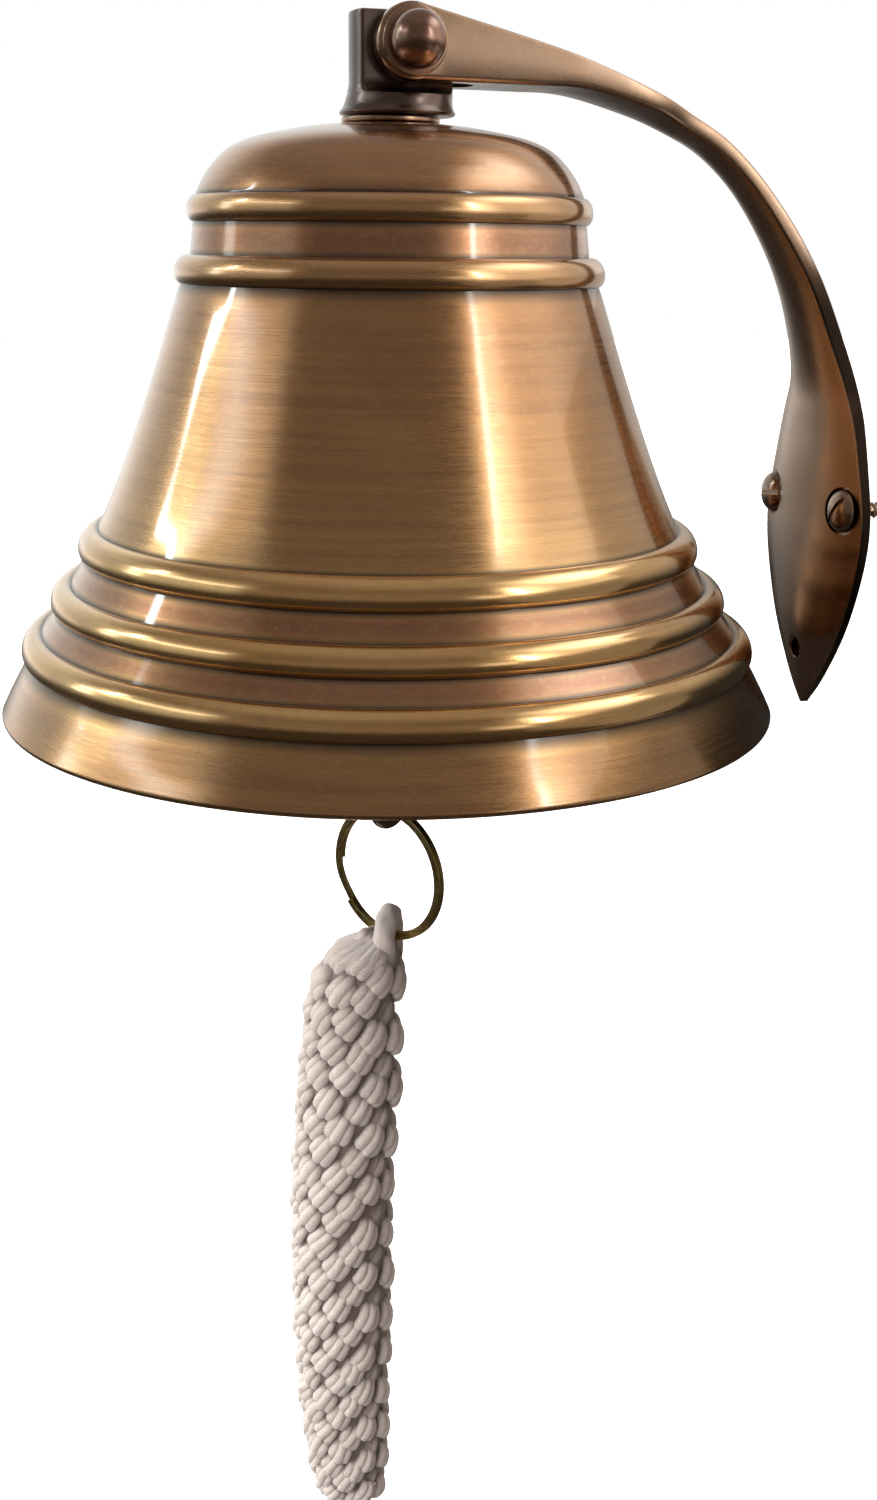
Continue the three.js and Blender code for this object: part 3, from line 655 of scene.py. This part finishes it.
def wall_screw(hand, side, slot_turn):
    """A slotted round-head wood screw with a rolled thread that runs out at its point."""
    pitch, core, crest, point = 1.6, 1.45, 2.0, -19.5
    thread_top, taper = -0.5, 4.6
    head = SCREW_SEAT + GAP

    def thread(radius, z, angle):
        if z > thread_top or radius < 0.01:
            return radius
        phase = (z / pitch - angle / (2 * math.pi)) % 1
        ridge = max(0, 1 - abs(phase - 0.5) / 0.24)
        fade = min(1, (z - point) / 5, (thread_top - z) / 1.5)
        return radius * (core + (crest - core) * ridge * max(fade, 0)) / crest

    rises = [0.18 * k for k in range(1, 106)]
    shank = [(0.02, point)] + [(crest * min(1, 0.12 + rise / taper), point + rise) for rise in rises]
    dome = spline([(SCREW_HEAD_RADIUS, head + 0.25), (4.8, head + 1.1), (3.9, head + 2.1),
                   (2.2, head + 2.85), (0.02, head + 3.05)], 6)
    outline = shank + [(crest, 0), (crest, head), (SCREW_HEAD_RADIUS - 0.2, head)] + dome
    screw = turned("wall_screw_" + hand + "_slotted", outline, sides=48, radius_at=thread)
    groove = box("groove", (12, 1.15, 3), (0, 0, head + 3.2))
    combine(screw, turn_mesh(groove, Matrix.Rotation(slot_turn, 4, "Z")), "DIFFERENCE")
    to_y_axis(screw, side * SCREW_SPREAD, 0)
    attach(smooth(screw, 38), "bracket", SCREW_BRONZE, "wall_screw_" + hand)


# ---- pivot hardware ----
WASHER_IN = FORK_HALF_WIDTH + GAP
WASHER_OUT = WASHER_IN + 1.1
BOLT_SEAT = WASHER_OUT + GAP
BOLT_END = 17.4
BALL_HEAD_RADIUS = 5.8
BALL_HEAD_RISE = 2.1  # from the ball head's flat to its centre
NUT_HEIGHT = 4.8


def rounded_tube(inner, outer, low, high, edge):
    """A washer or collar outline with its outer edges rounded."""
    outline = [(inner, low + edge / 2), (inner + edge / 2, low)]
    outline += arc((outer - edge, low + edge), edge, -90, 0, 4)
    outline += arc((outer - edge, high - edge), edge, 0, 90, 4)
    outline += [(inner + edge / 2, high), (inner, high - edge / 2)]
    return outline + outline[:1]


def hexagon(name, across, low, high, edge):
    """A hexagon bar piece with turned, chamfered ends."""
    reach = across / math.sqrt(3)
    nut = turned(name, [(reach, low), (reach, high)], sides=6)
    flat = across / 2 + 0.1
    guard = [(flat, low), (reach + 0.1, low + edge), (reach + 0.1, high - edge), (flat, high)]
    return combine(nut, turned("guard", guard, sides=96), "INTERSECT")


def hardware(thing, body, node, angle=40):
    attach(smooth(thing, angle), body, HARDWARE_BRONZE, node)


def pivot_hardware():
    start = math.degrees(math.asin(BALL_HEAD_RISE / BALL_HEAD_RADIUS))
    dome = arc((0, BOLT_SEAT + BALL_HEAD_RISE), BALL_HEAD_RADIUS, -start, 89.5, 26)
    flat = dome[0][0]
    shank = [(BOLT_RADIUS - 0.4, -BOLT_END), (BOLT_RADIUS, 0.4 - BOLT_END), (BOLT_RADIUS, BOLT_SEAT)]
    head = [(flat - 0.3, BOLT_SEAT), (flat - 0.05, BOLT_SEAT + 0.1)] + dome[1:]
    bolt = turned("pivot_bolt_turned", shank + head, sides=72)
    hardware(onto_pivot(bolt), "bracket", "pivot_bolt")
    for hand, side in (("right", 1), ("left", -1)):
        low, high = sorted((side * WASHER_IN, side * WASHER_OUT))
        outline = rounded_tube(BOLT_RADIUS + GAP, 7, low, high, 0.4)
        washer = turned("pivot_washer_turned_" + hand, outline, sides=72)
        hardware(onto_pivot(washer), "bracket", "pivot_washer_" + hand)
    nut = hexagon("pivot_nut_domed", 11, BOLT_SEAT, BOLT_SEAT + NUT_HEIGHT, 0.9)
    cap_low = BOLT_SEAT + NUT_HEIGHT - 0.6
    cap = [(4.7, cap_low)] + spline([(4.7, cap_low + 0.8), (4.3, cap_low + 2.8), (2.8, cap_low + 4.4),
                                     (0.02, cap_low + 5)], 6)
    combine(nut, turned("cap", cap, sides=64), "UNION")
    combine(nut, bar(BOLT_RADIUS + GAP, BOLT_SEAT - 1, BOLT_END + 0.6), "DIFFERENCE")
    turn_mesh(nut, Matrix.Rotation(math.pi, 4, "Y"))
    hardware(onto_pivot(nut), "bracket", "pivot_nut", 30)


# ---- hanger ----
TONGUE_HALF = 5
TONGUE_RADIUS = 11.2
TONGUE_TOP = PIVOT.z + 6.5
TONGUE_SHIFT = PIVOT.y - AXIS_Y
CROWN_Z = RIM_Z + BELL_HEIGHT
CROWN_WASHER_RADIUS = 10.6
CROWN_WASHER_THICK = 1.2
FOOT_LOW = CROWN_Z + 2 * GAP + CROWN_WASHER_THICK
ROUND = 30  # a half width that leaves the foot round
# The foot, from its underside up: rise, radius, half width between the flats, shift towards the wall.
FOOT = [(0, 11.9, ROUND, 1.5), (0.15, 12.3, ROUND, 1.5), (0.5, 12.5, ROUND, 1.5), (0.9, 12.35, ROUND, 1.5),
        (1.3, 12.0, ROUND, 1.6), (2.1, 11.7, ROUND, 1.7), (2.9, 11.55, ROUND, 1.8), (3.5, 11.45, ROUND, 1.9),
        (4.0, 11.4, 11.0, 2.0), (4.25, 11.35, 8.8, 2.05), (4.5, 11.3, 7.2, 2.1), (4.9, 11.3, 6.0, 2.1),
        (5.5, 11.25, 5.3, 2.2), (6.3, TONGUE_RADIUS, TONGUE_HALF, TONGUE_SHIFT)]
STUD_RADIUS = 4
STUD_LOW = 67
STUD_TOP = 92.5
INNER_WASHER_RADIUS = 9.5
INNER_WASHER_THICK = 1.5
HANGER_NUT_HEIGHT = 5


def block_ring(z, radius, half, shift, sides=96):
    """A round bar's section cut by a flat on each side at x = +-half, with softened corners."""
    ring = []
    for k in range(sides):
        angle = 2 * math.pi * k / sides
        x, y = radius * math.cos(angle), radius * math.sin(angle)
        over = abs(x) - half + 0.5
        if over > 0:
            x = math.copysign(half - 0.5 + 0.5 * math.tanh(over / 0.5), x)
        ring.append(Vector((x, AXIS_Y + shift + y, z)))
    return ring


def hanger_block():
    """A turned foot that flares onto the crown and narrows to a flat tongue between the ears."""
    rings = [(FOOT_LOW + rise, radius, half, shift) for rise, radius, half, shift in FOOT]
    low, high, steps = rings[-1][0], TONGUE_TOP - 0.6, 10
    for k in range(1, steps + 1):
        rings.append((low + (high - low) * k / steps, TONGUE_RADIUS, TONGUE_HALF, TONGUE_SHIFT))
    rings += [(TONGUE_TOP - 0.2, TONGUE_RADIUS - 0.15, TONGUE_HALF - 0.12, TONGUE_SHIFT),
              (TONGUE_TOP, TONGUE_RADIUS - 0.6, TONGUE_HALF - 0.5, TONGUE_SHIFT)]
    points = [p for ring in rings for p in block_ring(*ring)]
    faces = tube_faces(len(rings), len(points) // len(rings))
    block = outward(mesh_object("hanger_block_cast", points, faces))
    bolt_hole = bar(BOLT_RADIUS + GAP, -3 * TONGUE_HALF, 3 * TONGUE_HALF)
    combine(block, onto_pivot(bolt_hole), "DIFFERENCE")
    combine(block, bar(STUD_RADIUS + GAP, FOOT_LOW - 5, STUD_TOP + GAP, ON_AXIS), "DIFFERENCE")
    attach(smooth(block, 40), "bell", BLOCK_BRONZE, "hanger_block")


def crown_hardware():
    low = CROWN_Z + GAP
    outline = rounded_tube(STUD_RADIUS + GAP, CROWN_WASHER_RADIUS, low, low + CROWN_WASHER_THICK, 0.4)
    washer = turned("crown_washer_turned", outline, ON_AXIS)
    attach(smooth(washer, 40), "bell", BRACKET_BRONZE, "crown_washer")
    top = RIM_Z + CROWN_INSIDE - 2 * GAP
    outline = rounded_tube(STUD_RADIUS + GAP, INNER_WASHER_RADIUS, top - INNER_WASHER_THICK, top, 0.4)
    hardware(turned("inner_washer_turned", outline, ON_AXIS), "bell", "inner_washer")
    nut_top = top - INNER_WASHER_THICK - GAP
    nut = hexagon("hanger_nut_cut", 13, nut_top - HANGER_NUT_HEIGHT, nut_top, 0.9)
    combine(nut, bar(STUD_RADIUS + GAP, nut_top - 8, nut_top + 3), "DIFFERENCE")
    turn_mesh(nut, Matrix.Translation(Vector((0, AXIS_Y, 0)) * MM))
    hardware(nut, "bell", "hanger_nut", 30)
    chamfer = 0.6
    outline = [(STUD_RADIUS - chamfer, STUD_LOW), (STUD_RADIUS, STUD_LOW + chamfer),
               (STUD_RADIUS, STUD_TOP - 0.5), (STUD_RADIUS - chamfer, STUD_TOP)]
    hardware(turned("hanger_stud_turned", outline, ON_AXIS, sides=48), "bell", "hanger_stud")


# ---- clapper ----
EYE_WIRE = 2
EYE_RADIUS = 6.2
EYE_CENTRE_Z = EYE_POINT.z + EYE_RADIUS
EYE_TOP = 73
LINK_WIRE = 1.6
LINK_BEND = 5
LINK_TOP = EYE_POINT.z + EYE_WIRE + LINK_WIRE + GAP
LINK_LOW = LINK_POINT.z
LOOP_RADIUS = 5.5
LOOP_CENTRE_Z = LINK_LOW + LINK_WIRE + EYE_WIRE + GAP - LOOP_RADIUS
BALL_RADIUS = 17
BALL_Z = -26
ROD_RADIUS = 3
ROD_LOW = -56
BALL_REACH = math.sqrt(BALL_RADIUS ** 2 - (ROD_RADIUS + GAP) ** 2)
TAIL_TOP = BALL_Z - BALL_REACH - GAP
TAIL_EYE = (0, AXIS_Y, -69.6)
TAIL_EYE_RADIUS = 4.4
TAIL_EYE_WIRE = 1.8


def wire_ring(centre, normal, radius, wire, steps=72):
    across = UP.cross(normal).normalized()
    path = [Vector(centre) + across * (radius * math.cos(turn)) + UP * (radius * math.sin(turn))
            for turn in (2 * math.pi * k / steps for k in range(steps))]
    return swept("wire_ring", path, normal, circle(wire), closed=True)


def clapper():
    across = Vector((0, 1, 0))
    boss = [(4.4, EYE_CENTRE_Z + 4.4), (5.5, EYE_CENTRE_Z + 5.6), (5.5, EYE_TOP - 0.6), (4.9, EYE_TOP)]
    eye = turned("clapper_eye_forged", boss, ON_AXIS, sides=64)
    combine(eye, wire_ring((0, AXIS_Y, EYE_CENTRE_Z), across, EYE_RADIUS, EYE_WIRE), "UNION")
    combine(eye, bar(STUD_RADIUS + GAP, STUD_LOW - GAP, EYE_TOP + 5, ON_AXIS), "DIFFERENCE")
    attach(smooth(eye, 35), "bell", CLAPPER_BRONZE, "clapper_eye")

    path = []
    for centre_z, start in ((LINK_TOP - LINK_BEND, 0), (LINK_LOW + LINK_BEND, 180)):
        bend = arc((0, centre_z), LINK_BEND, start, start + 180, 24)
        path += [Vector((0, AXIS_Y + dy, z)) for dy, z in bend]
    link = swept("clapper_link_bent", path, Vector((1, 0, 0)), circle(LINK_WIRE), closed=True)
    attach(smooth(link), "link", CLAPPER_BRONZE, "clapper_link")

    collar = BALL_Z + BALL_REACH + GAP
    turning = [(4.6, 0), (4.8, 0.3), (4.8, 2), (4.2, 2.9), (3.3, 4), (ROD_RADIUS, 6)]
    outline = [(ROD_RADIUS - 0.4, ROD_LOW), (ROD_RADIUS, ROD_LOW + 0.4), (ROD_RADIUS, collar)]
    outline += [(radius, collar + rise) for radius, rise in turning]
    outline += [(ROD_RADIUS, LOOP_CENTRE_Z - LOOP_RADIUS)]
    rod = turned("clapper_rod_forged", outline, ON_AXIS, sides=64)
    combine(rod, wire_ring((0, AXIS_Y, LOOP_CENTRE_Z), across, LOOP_RADIUS, EYE_WIRE), "UNION")
    attach(smooth(rod, 35), "clapper", CLAPPER_BRONZE, "clapper_rod")

    end = math.degrees(math.asin(BALL_REACH / BALL_RADIUS))
    outline = arc((0, BALL_Z), BALL_RADIUS, -end, end, 60)
    outline += [(ROD_RADIUS + GAP, BALL_Z - BALL_REACH)]
    ball = turned("clapper_ball_turned", outline, ON_AXIS, sides=128)
    attach(smooth(ball, 40), "clapper", CLAPPER_BRASS, "clapper_ball")

    low = TAIL_EYE[2] + TAIL_EYE_RADIUS
    sleeve = spline([(2.9, low + 0.6), (3.8, low + 3), (4.6, ROD_LOW - 2), (5.2, TAIL_TOP - 1.5)], 5)
    outline = [(2.3, low)] + sleeve + [(5.1, TAIL_TOP - 0.4), (4.6, TAIL_TOP)]
    tail = turned("clapper_tail_forged", outline, ON_AXIS, sides=64)
    combine(tail, wire_ring(TAIL_EYE, RING_ALONG, TAIL_EYE_RADIUS, TAIL_EYE_WIRE), "UNION")
    combine(tail, bar(ROD_RADIUS + GAP, ROD_LOW - GAP, TAIL_TOP + 3, ON_AXIS), "DIFFERENCE")
    attach(smooth(tail, 35), "clapper", CLAPPER_BRONZE, "clapper_tail")


# ---- split ring ----
RING_RADIUS = 16.2


def split_ring():
    """Two turns of flattened wire lying side by side, stepping across where the ends overlap."""
    half_wide, half_coil, edge = 1.0, 0.42, 0.22
    section = []
    for cx, cy, start in ((1, 1, 0), (-1, 1, 90), (-1, -1, 180), (1, -1, 270)):
        section += arc((cx * (half_wide - edge), cy * (half_coil - edge)), edge, start, start + 90, 3)
    path = []
    first, last, step = 20, 700, 2.5
    crossing, crossing_length = 342, 36  # degrees along the wire
    for k in range(int((last - first) / step) + 1):
        degrees = first + k * step
        shift = min(max((degrees - crossing) / crossing_length, 0), 1)
        shift = (shift * shift * (3 - 2 * shift) - 0.5) * (2 * half_coil + 0.06)
        turn = math.radians(degrees + 200)
        spoke = RING_ALONG * math.cos(turn) + UP * math.sin(turn)
        path.append(RING_CENTRE + spoke * RING_RADIUS + RING_NORMAL * shift)
    ring = swept("split_ring_coiled", path, RING_NORMAL, section)
    attach(smooth(ring, 40), "ring", RING_BRASS, "split_ring")


# ---- rope lanyard ----
CORD_RADIUS = 2.8
RING_LOW = RING_CENTRE.z - RING_RADIUS
BRAID_TOP = RING_LOW - 4.2
# The braid's outer surface: height, radius and how far it hangs out from the bell's axis.
BRAID = [(-104.3, 5.6, 3.0), (-106, 8.8, 4.4), (-109, 10.9, 6.2), (-114, 12.1, 8), (-124, 12.8, 9.3),
         (-140, 13.6, 10.2), (-165, 13.7, 12), (-185, 13.6, 12.3), (-206, 13.4, 12.5), (-237, 12.2, 12.2),
         (-252, 11.4, 11.3), (-259, 10.6, 10.9), (-264, 9.4, 10.7), (-267, 7.4, 10.7), (-268.5, 4, 10.7)]
BRAID_LENGTH = BRAID[0][0] - BRAID[-1][0]
KNUCKLES_ROUND = 9
STRAND_RADIUS = 1.65  # three strands lie side by side in each knuckle
STRAND_STEP = 2.45
STRAND_HALF_LENGTH = 4.9
LEAN = math.radians(56)
ROW_PITCH = 7.4, 5.0  # from one row of the braid to the next, at its head and at its foot
ROW_DROP = 8  # rows run down towards the scalloped side and up again behind it
SCALLOP_SIDE = math.atan2(CAMERA_RIGHT.y, CAMERA_RIGHT.x)  # the side on which every other row stands proud


def braid_at(z):
    """Radius and outward distance of the braid's surface at a height."""
    z = min(max(z, BRAID[-1][0]), BRAID[0][0])
    for (z0, r0, o0), (z1, r1, o1) in zip(BRAID, BRAID[1:]):
        if z >= z1:
            t = (z0 - z) / (z0 - z1)
            return r0 + (r1 - r0) * t, o0 + (o1 - o0) * t
    return BRAID[-1][1:]


def lobe(z_middle, angle, half_length, thickness, lean, proud, sink_depth):
    """One strand where it surfaces: a leaning bean, fuller at its lower end, both ends tucked in."""
    rows, sides = 9, 8
    points, uvs, shade_depth = [], [], []
    start = random.random() * 10
    for i in range(rows):
        t = 2 * i / (rows - 1) - 1
        along = t * half_length
        z = z_middle + along * math.sin(lean)
        radius, out = braid_at(z)
        surface = max(radius, 3)
        turn = angle + along * math.cos(lean) / surface
        fall = max(0, abs(t + 0.15) - 0.1)
        middle = surface - thickness + proud - sink_depth * fall ** 2.2
        ease = min(1, 1.15 * math.sqrt(max(0.0, 1 - abs(t) ** 3)) + 0.12)
        thick = thickness * ease * (1.05 - 0.13 * t)
        outwards = Vector((math.cos(turn), math.sin(turn), 0))
        centre = Vector((0, AXIS_Y - out, z)) + outwards * middle
        sideways = Vector((-math.sin(turn), math.cos(turn), 0))
        along_dir = (sideways * math.cos(lean) + UP * math.sin(lean) - outwards * (0.8 * t)).normalized()
        across = along_dir.cross(outwards).normalized()
        lift = across.cross(along_dir).normalized()
        for k in range(sides):
            around = 2 * math.pi * k / sides
            twist = 1 + 0.035 * math.cos(3 * around - along * 1.15 + start)
            offset = (across * math.cos(around) * 1.08 + lift * math.sin(around)) * thick * twist
            point = centre + offset
            points.append(point)
            uvs.append((k / sides + start, along))
            # how deep the point lies under the braid's surface, which sets its painted shade
            away = math.hypot(point.x, point.y - AXIS_Y + out)
            shade_depth.append(min(1, max(0, (surface - 0.3 - away) / 3.2)))
    return points, tube_faces(rows, sides), uvs, shade_depth


def knuckle(add, z, angle, size, lean, stand):
    """Where a cord surfaces: three of its strands side by side, the middle one standing highest."""
    radius, _ = braid_at(z)
    size *= min(1.0, 0.45 + 0.55 * radius / 12)
    for j in (-1, 0, 1):
        step = j * STRAND_STEP * size
        length = STRAND_HALF_LENGTH * size * random.uniform(0.88, 1.1) * (1 - 0.1 * abs(j))
        add(lobe(z - step * math.cos(lean), angle + step * math.sin(lean) / max(radius, 4), length,
                 STRAND_RADIUS * size * random.uniform(0.92, 1.1), lean + random.uniform(-0.1, 0.1),
                 stand - 0.55 * abs(j), 2.6 * size))


def braid_core(sides=32, step=1.5, under=2.5):
    """What shows at the bottom of the gaps between the lobes, all of it painted dark as shade."""
    rows, z = [], BRAID[0][0] - 2
    while z > BRAID[-1][0] + 1.5:
        radius, out = braid_at(z)
        inner = max(radius - under, 1.0)
        rows.append([Vector((inner * math.cos(a), AXIS_Y - out + inner * math.sin(a), z))
                     for a in (2 * math.pi * k / sides for k in range(sides))])
        z -= step
    points = [p for row in rows for p in row]
    return points, tube_faces(len(rows), sides), [(0, 0)] * len(points), [1.0] * len(points)


def lanyard_braid():
    points, faces, uvs, shade_depth = [], [], [], []

    def add(part):
        base = len(points)
        points.extend(part[0])
        faces.extend([tuple(i + base for i in face) for face in part[1]])
        uvs.extend(part[2])
        shade_depth.extend(part[3])

    z, layer = BRAID[0][0] + 1.0, 0
    while z > BRAID[-1][0] + 2:
        down = min(max((BRAID[0][0] - z) / BRAID_LENGTH, 0), 1)
        for k in range(KNUCKLES_ROUND):
            angle = 2 * math.pi * (k + 0.5 * (layer % 2)) / KNUCKLES_ROUND + 0.05 * random.uniform(-1, 1)
            scalloped = max(0, math.cos(angle - SCALLOP_SIDE))
            height = z + ROW_DROP * (0.5 - scalloped) + random.uniform(-0.5, 0.5)
            height = min(max(height, BRAID[-1][0] + 2.5), BRAID[0][0] - 1.5)
            stand = scalloped ** 1.5 * (0.8 if layer % 2 else -1.8) + random.uniform(-0.3, 0.3)
            knuckle(add, height, angle, 1 - 0.22 * down, LEAN + random.uniform(-0.15, 0.15), stand)
        z -= ROW_PITCH[0] + (ROW_PITCH[1] - ROW_PITCH[0]) * down
        layer += 1
    add(braid_core())
    rope = rounded(tag(outward(mesh_object("lanyard_braid", points, faces, uvs)), "shade_depth", shade_depth))
    rope.data.materials.append(COTTON)
    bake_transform(rope)
    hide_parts("lanyard_upper", "lanyard_lower")


def lanyard_loop():
    """The cord that carries the braid: over the bottom of the ring, both legs running down inside."""
    bend = 2 + CORD_RADIUS
    centre = Vector((0, AXIS_Y, RING_LOW))
    skew = Matrix.Rotation(math.radians(30), 3, "Z")
    side, across = skew @ RING_ALONG, skew @ RING_NORMAL
    legs = 9
    path = [centre + across * bend + UP * (-legs + k) for k in range(legs)]
    path += [centre + across * (bend * math.cos(a)) + UP * (bend * math.sin(a))
             for a in (math.pi * k / 24 for k in range(25))]
    path += [centre - across * bend - UP * (1 + k) for k in range(legs)]

    def strands(around, length):
        return 0.97 + 0.05 * math.cos(3 * around - length * 1.15)

    cord = swept("lanyard_loop_cord", path, side, circle(CORD_RADIUS), swell=strands)
    # painted shade: the cord darkens where it goes down into the braid
    shade_depth = [min(1, max(0, (BRAID_TOP + 1.5 - v.co.z / MM) / 6)) for v in cord.data.vertices]
    attach(rounded(tag(cord, "shade_depth", shade_depth)), "lanyard_top", COTTON, "lanyard_loop")


bell_shell()
wall_bracket()
wall_screw("right", 1, 0.9)
wall_screw("left", -1, 0.1)
pivot_hardware()
hanger_block()
crown_hardware()
clapper()
split_ring()
lanyard_braid()
lanyard_loop()

# ---- camera, light and floor ----
def camera():
    data = bpy.data.cameras.new("camera")
    data.lens = FOCAL
    data.sensor_width = 36
    data.clip_start = 0.01
    made = bpy.data.objects.new("camera", data)
    bpy.context.scene.collection.objects.link(made)
    ahead = -TOWARDS_CAMERA * math.cos(VIEW_YAW) + CAMERA_RIGHT * math.sin(VIEW_YAW)
    right = ahead.cross(UP)
    look = ahead * math.cos(VIEW_PITCH) - UP * math.sin(VIEW_PITCH)
    top = right.cross(look)
    spot = (Vector((0, AXIS_Y, 0)) + TOWARDS_CAMERA * VIEW_DISTANCE + UP * VIEW_HEIGHT) * MM
    turn = Matrix((right, top, -look)).transposed().to_4x4() @ Matrix.Rotation(VIEW_ROLL, 4, "Z")
    made.matrix_world = Matrix.Translation(spot) @ turn
    bpy.context.scene.camera = made


# What the metal sees, as soft panels all round it. Each edge is (place, softness) in degrees: left and
# right are bearings to the camera's right, bottom and top are heights; then strength and colour.
PANELS = {
    "left_wall": ((-183, 2.5), (-54, 4), (-5, 13), (35, 13), 0.37, (0.84, 1.0, 1.03)),
    "left_low": ((-182, 8), (-122, 8), (-6, 4), (1, 6), 0.5, (1.0, 0.93, 0.86)),
    "left_window": ((-108.6, 0.9), (-105.2, 0.9), (16.8, 0.8), (32, 4), 13, (0.86, 1.0, 1.05)),
    "left_pane": ((-108, 2), (-99, 2), (2, 3), (15, 3), 2.2, (0.88, 1.0, 1.05)),
    "left_sill": ((-96, 3), (-56, 3), (22, 2), (26, 2), 3.0, (1.0, 1.0, 1.0)),
    "right_strip": ((46.2, 1.4), (48.8, 2.2), (8, 8), (33, 8), 9.5, (0.92, 1.0, 1.03)),
    "right_soft": ((45.4, 4), (57, 9), (-2, 6), (38, 12), 1.9, (1.0, 0.98, 0.95)),
    "right_glow": ((43, 7), (100, 24), (-6, 10), (36, 16), 0.9, (1.0, 0.97, 0.92)),
    "right_low": ((30, 4), (46, 4), (-1, 3), (11, 4), 1.1, (1.0, 0.98, 0.93)),
    "right_fill": ((88, 16), (156, 16), (-8, 10), (44, 14), 0.45, (1.0, 0.96, 0.9)),
    "right_high": ((64, 18), (122, 12), (37, 10), (58, 8), 2.6, (0.94, 1.0, 1.02)),
    "front_low": ((-45, 25), (45, 25), (-6, 8), (22, 10), 0.06, (1.0, 0.93, 0.86)),
    "back_wall": ((134, 20), (226, 20), (-8, 14), (44, 14), 0.4, (1.0, 0.98, 0.96)),
}
CEILING = (0.15, 0.142, 0.135, 1)
DIM_ROOM = (0.17, 0.145, 0.125, 1)
DIM_FLOOR = (0.05, 0.042, 0.037, 1)
SOFT_KEY = (3.5, 3.4, 3.35, 1)  # what matt surfaces are lit by: soft light from the camera's left
SOFT_FILL = (0.30, 0.24, 0.22, 1)


def studio():
    """White to the eye; to the metal, a dim room with window light from the left and the right."""
    world = bpy.data.worlds.new("studio")
    bpy.context.scene.world = world
    world.use_nodes = True
    world.node_tree.nodes.clear()
    s = Shader(world.node_tree)
    direction = s.node("ShaderNodeTexCoord", output="Generated")

    def between_edges(value, low, high):
        rise = s.level(value, low[0] - low[1], low[0] + low[1])
        return s.times(rise, s.level(value, high[0] - high[1], high[0] + high[1], 1.0, 0.0))

    degrees = 180 / math.pi
    height = s.times(s.math("ARCSINE", s.dot(direction, UP)), degrees)
    right, ahead = s.dot(direction, CAMERA_RIGHT), s.dot(direction, TOWARDS_CAMERA)
    bearing = s.times(s.math("ARCTAN2", right, ahead), degrees)
    # the upper part of the left window stands further to the right
    bent = s.math("SUBTRACT", bearing, s.level(height, 17.0, 22.5, 0.0, 9.0))
    light = s.mix(s.level(height, -10.0, 6.0), DIM_FLOOR, DIM_ROOM)
    light = s.mix(s.level(height, 32.0, 72.0), light, CEILING, "ADD")
    for name, (left, right, bottom, top, strength, colour) in PANELS.items():
        source = bent if name == "left_window" else bearing
        middle = (left[0] + right[0]) / 2
        offset = s.math("WRAP", s.math("SUBTRACT", source, middle), 180.0, -180.0)
        across = between_edges(offset, (left[0] - middle, left[1]), (right[0] - middle, right[1]))
        mask = s.times(across, between_edges(height, bottom, top))
        light = s.mix(mask, light, tuple(strength * c for c in colour) + (1,), "ADD")
    rays = s.tree.nodes.new("ShaderNodeLightPath").outputs
    key = s.dot(direction, -CAMERA_RIGHT + UP * 0.35)
    matt = s.mix(s.level(key, -0.15, 0.85), SOFT_FILL, SOFT_KEY)
    light = s.mix(rays["Is Glossy Ray"], matt, light)
    room = s.node("ShaderNodeBackground", {"Color": light})
    white = s.node("ShaderNodeBackground", {"Color": (1, 1, 1, 1)})
    shown = s.node("ShaderNodeMixShader", {0: rays["Is Camera Ray"], 1: room, 2: white})
    s.node("ShaderNodeOutputWorld", {"Surface": shown}, None)
    world.cycles.sampling_method = "NONE"


def floor():
    """A pale floor under the object; from below it lets the view through."""
    reach = 6000
    z = cad_box[0][2] / MM - 30
    corners = [(-reach, -reach, z), (reach, -reach, z), (reach, reach, z), (-reach, reach, z)]
    flat = mesh_object("floor", corners, [(0, 1, 2, 3)])
    s = MaterialShader("pale_floor")
    seen = s.node("ShaderNodeLightPath", output="Is Camera Ray")
    shade = s.mix(seen, (0.12, 0.10, 0.09, 1), (0.88, 0.88, 0.88, 1))
    glow = s.times(seen, 0.7)
    from_below = s.node("ShaderNodeNewGeometry", output="Backfacing")
    flat.data.materials.append(s.finish(Base_Color=shade, Roughness=0.9, Emission_Color=(1, 1, 1, 1),
                                        Emission_Strength=glow, Alpha=s.math("SUBTRACT", 1.0, from_below)))
    flat.visible_glossy = False


# Name, left and right edge, top, and how bright the card is low down and high up.
WALL_CARDS = [("near", -140, 78, 62, 0.03, 0.5), ("far", 78, 300, 25, 0.26, 0.26)]


def wall_cards():
    """What the bell's wall side sees, as painted reflection: glowing cards for the wall, one by the leaf
    dark low down where the bell shades the wall, and a dim one beside it.
    """
    low, behind = -120, 1
    for name, left, right, high, dark, dim in WALL_CARDS:
        corners = [(left, behind, low), (right, behind, low), (right, behind, high), (left, behind, high)]
        card = mesh_object("wall_card_" + name, corners, [(0, 1, 2, 3)])
        card.visible_camera = card.visible_diffuse = card.visible_shadow = False
        s = MaterialShader("card_" + name)
        # painted reflection of the wall: the card glows, darker low down where the bell's shadow falls on
        # the wall
        painted_wall_light = s.level(s.part_of(s.where("Object"), "Z"), -28 * MM, 20 * MM, dark, dim)
        card.data.materials.append(s.finish(Base_Color=(0, 0, 0, 1), Roughness=1.0, Specular_IOR_Level=0.0,
                                            Emission_Color=(1, 0.93, 0.84, 1), Emission_Strength=painted_wall_light))


camera()
studio()
floor()
wall_cards()
bpy.context.scene.view_settings.view_transform = "Standard"
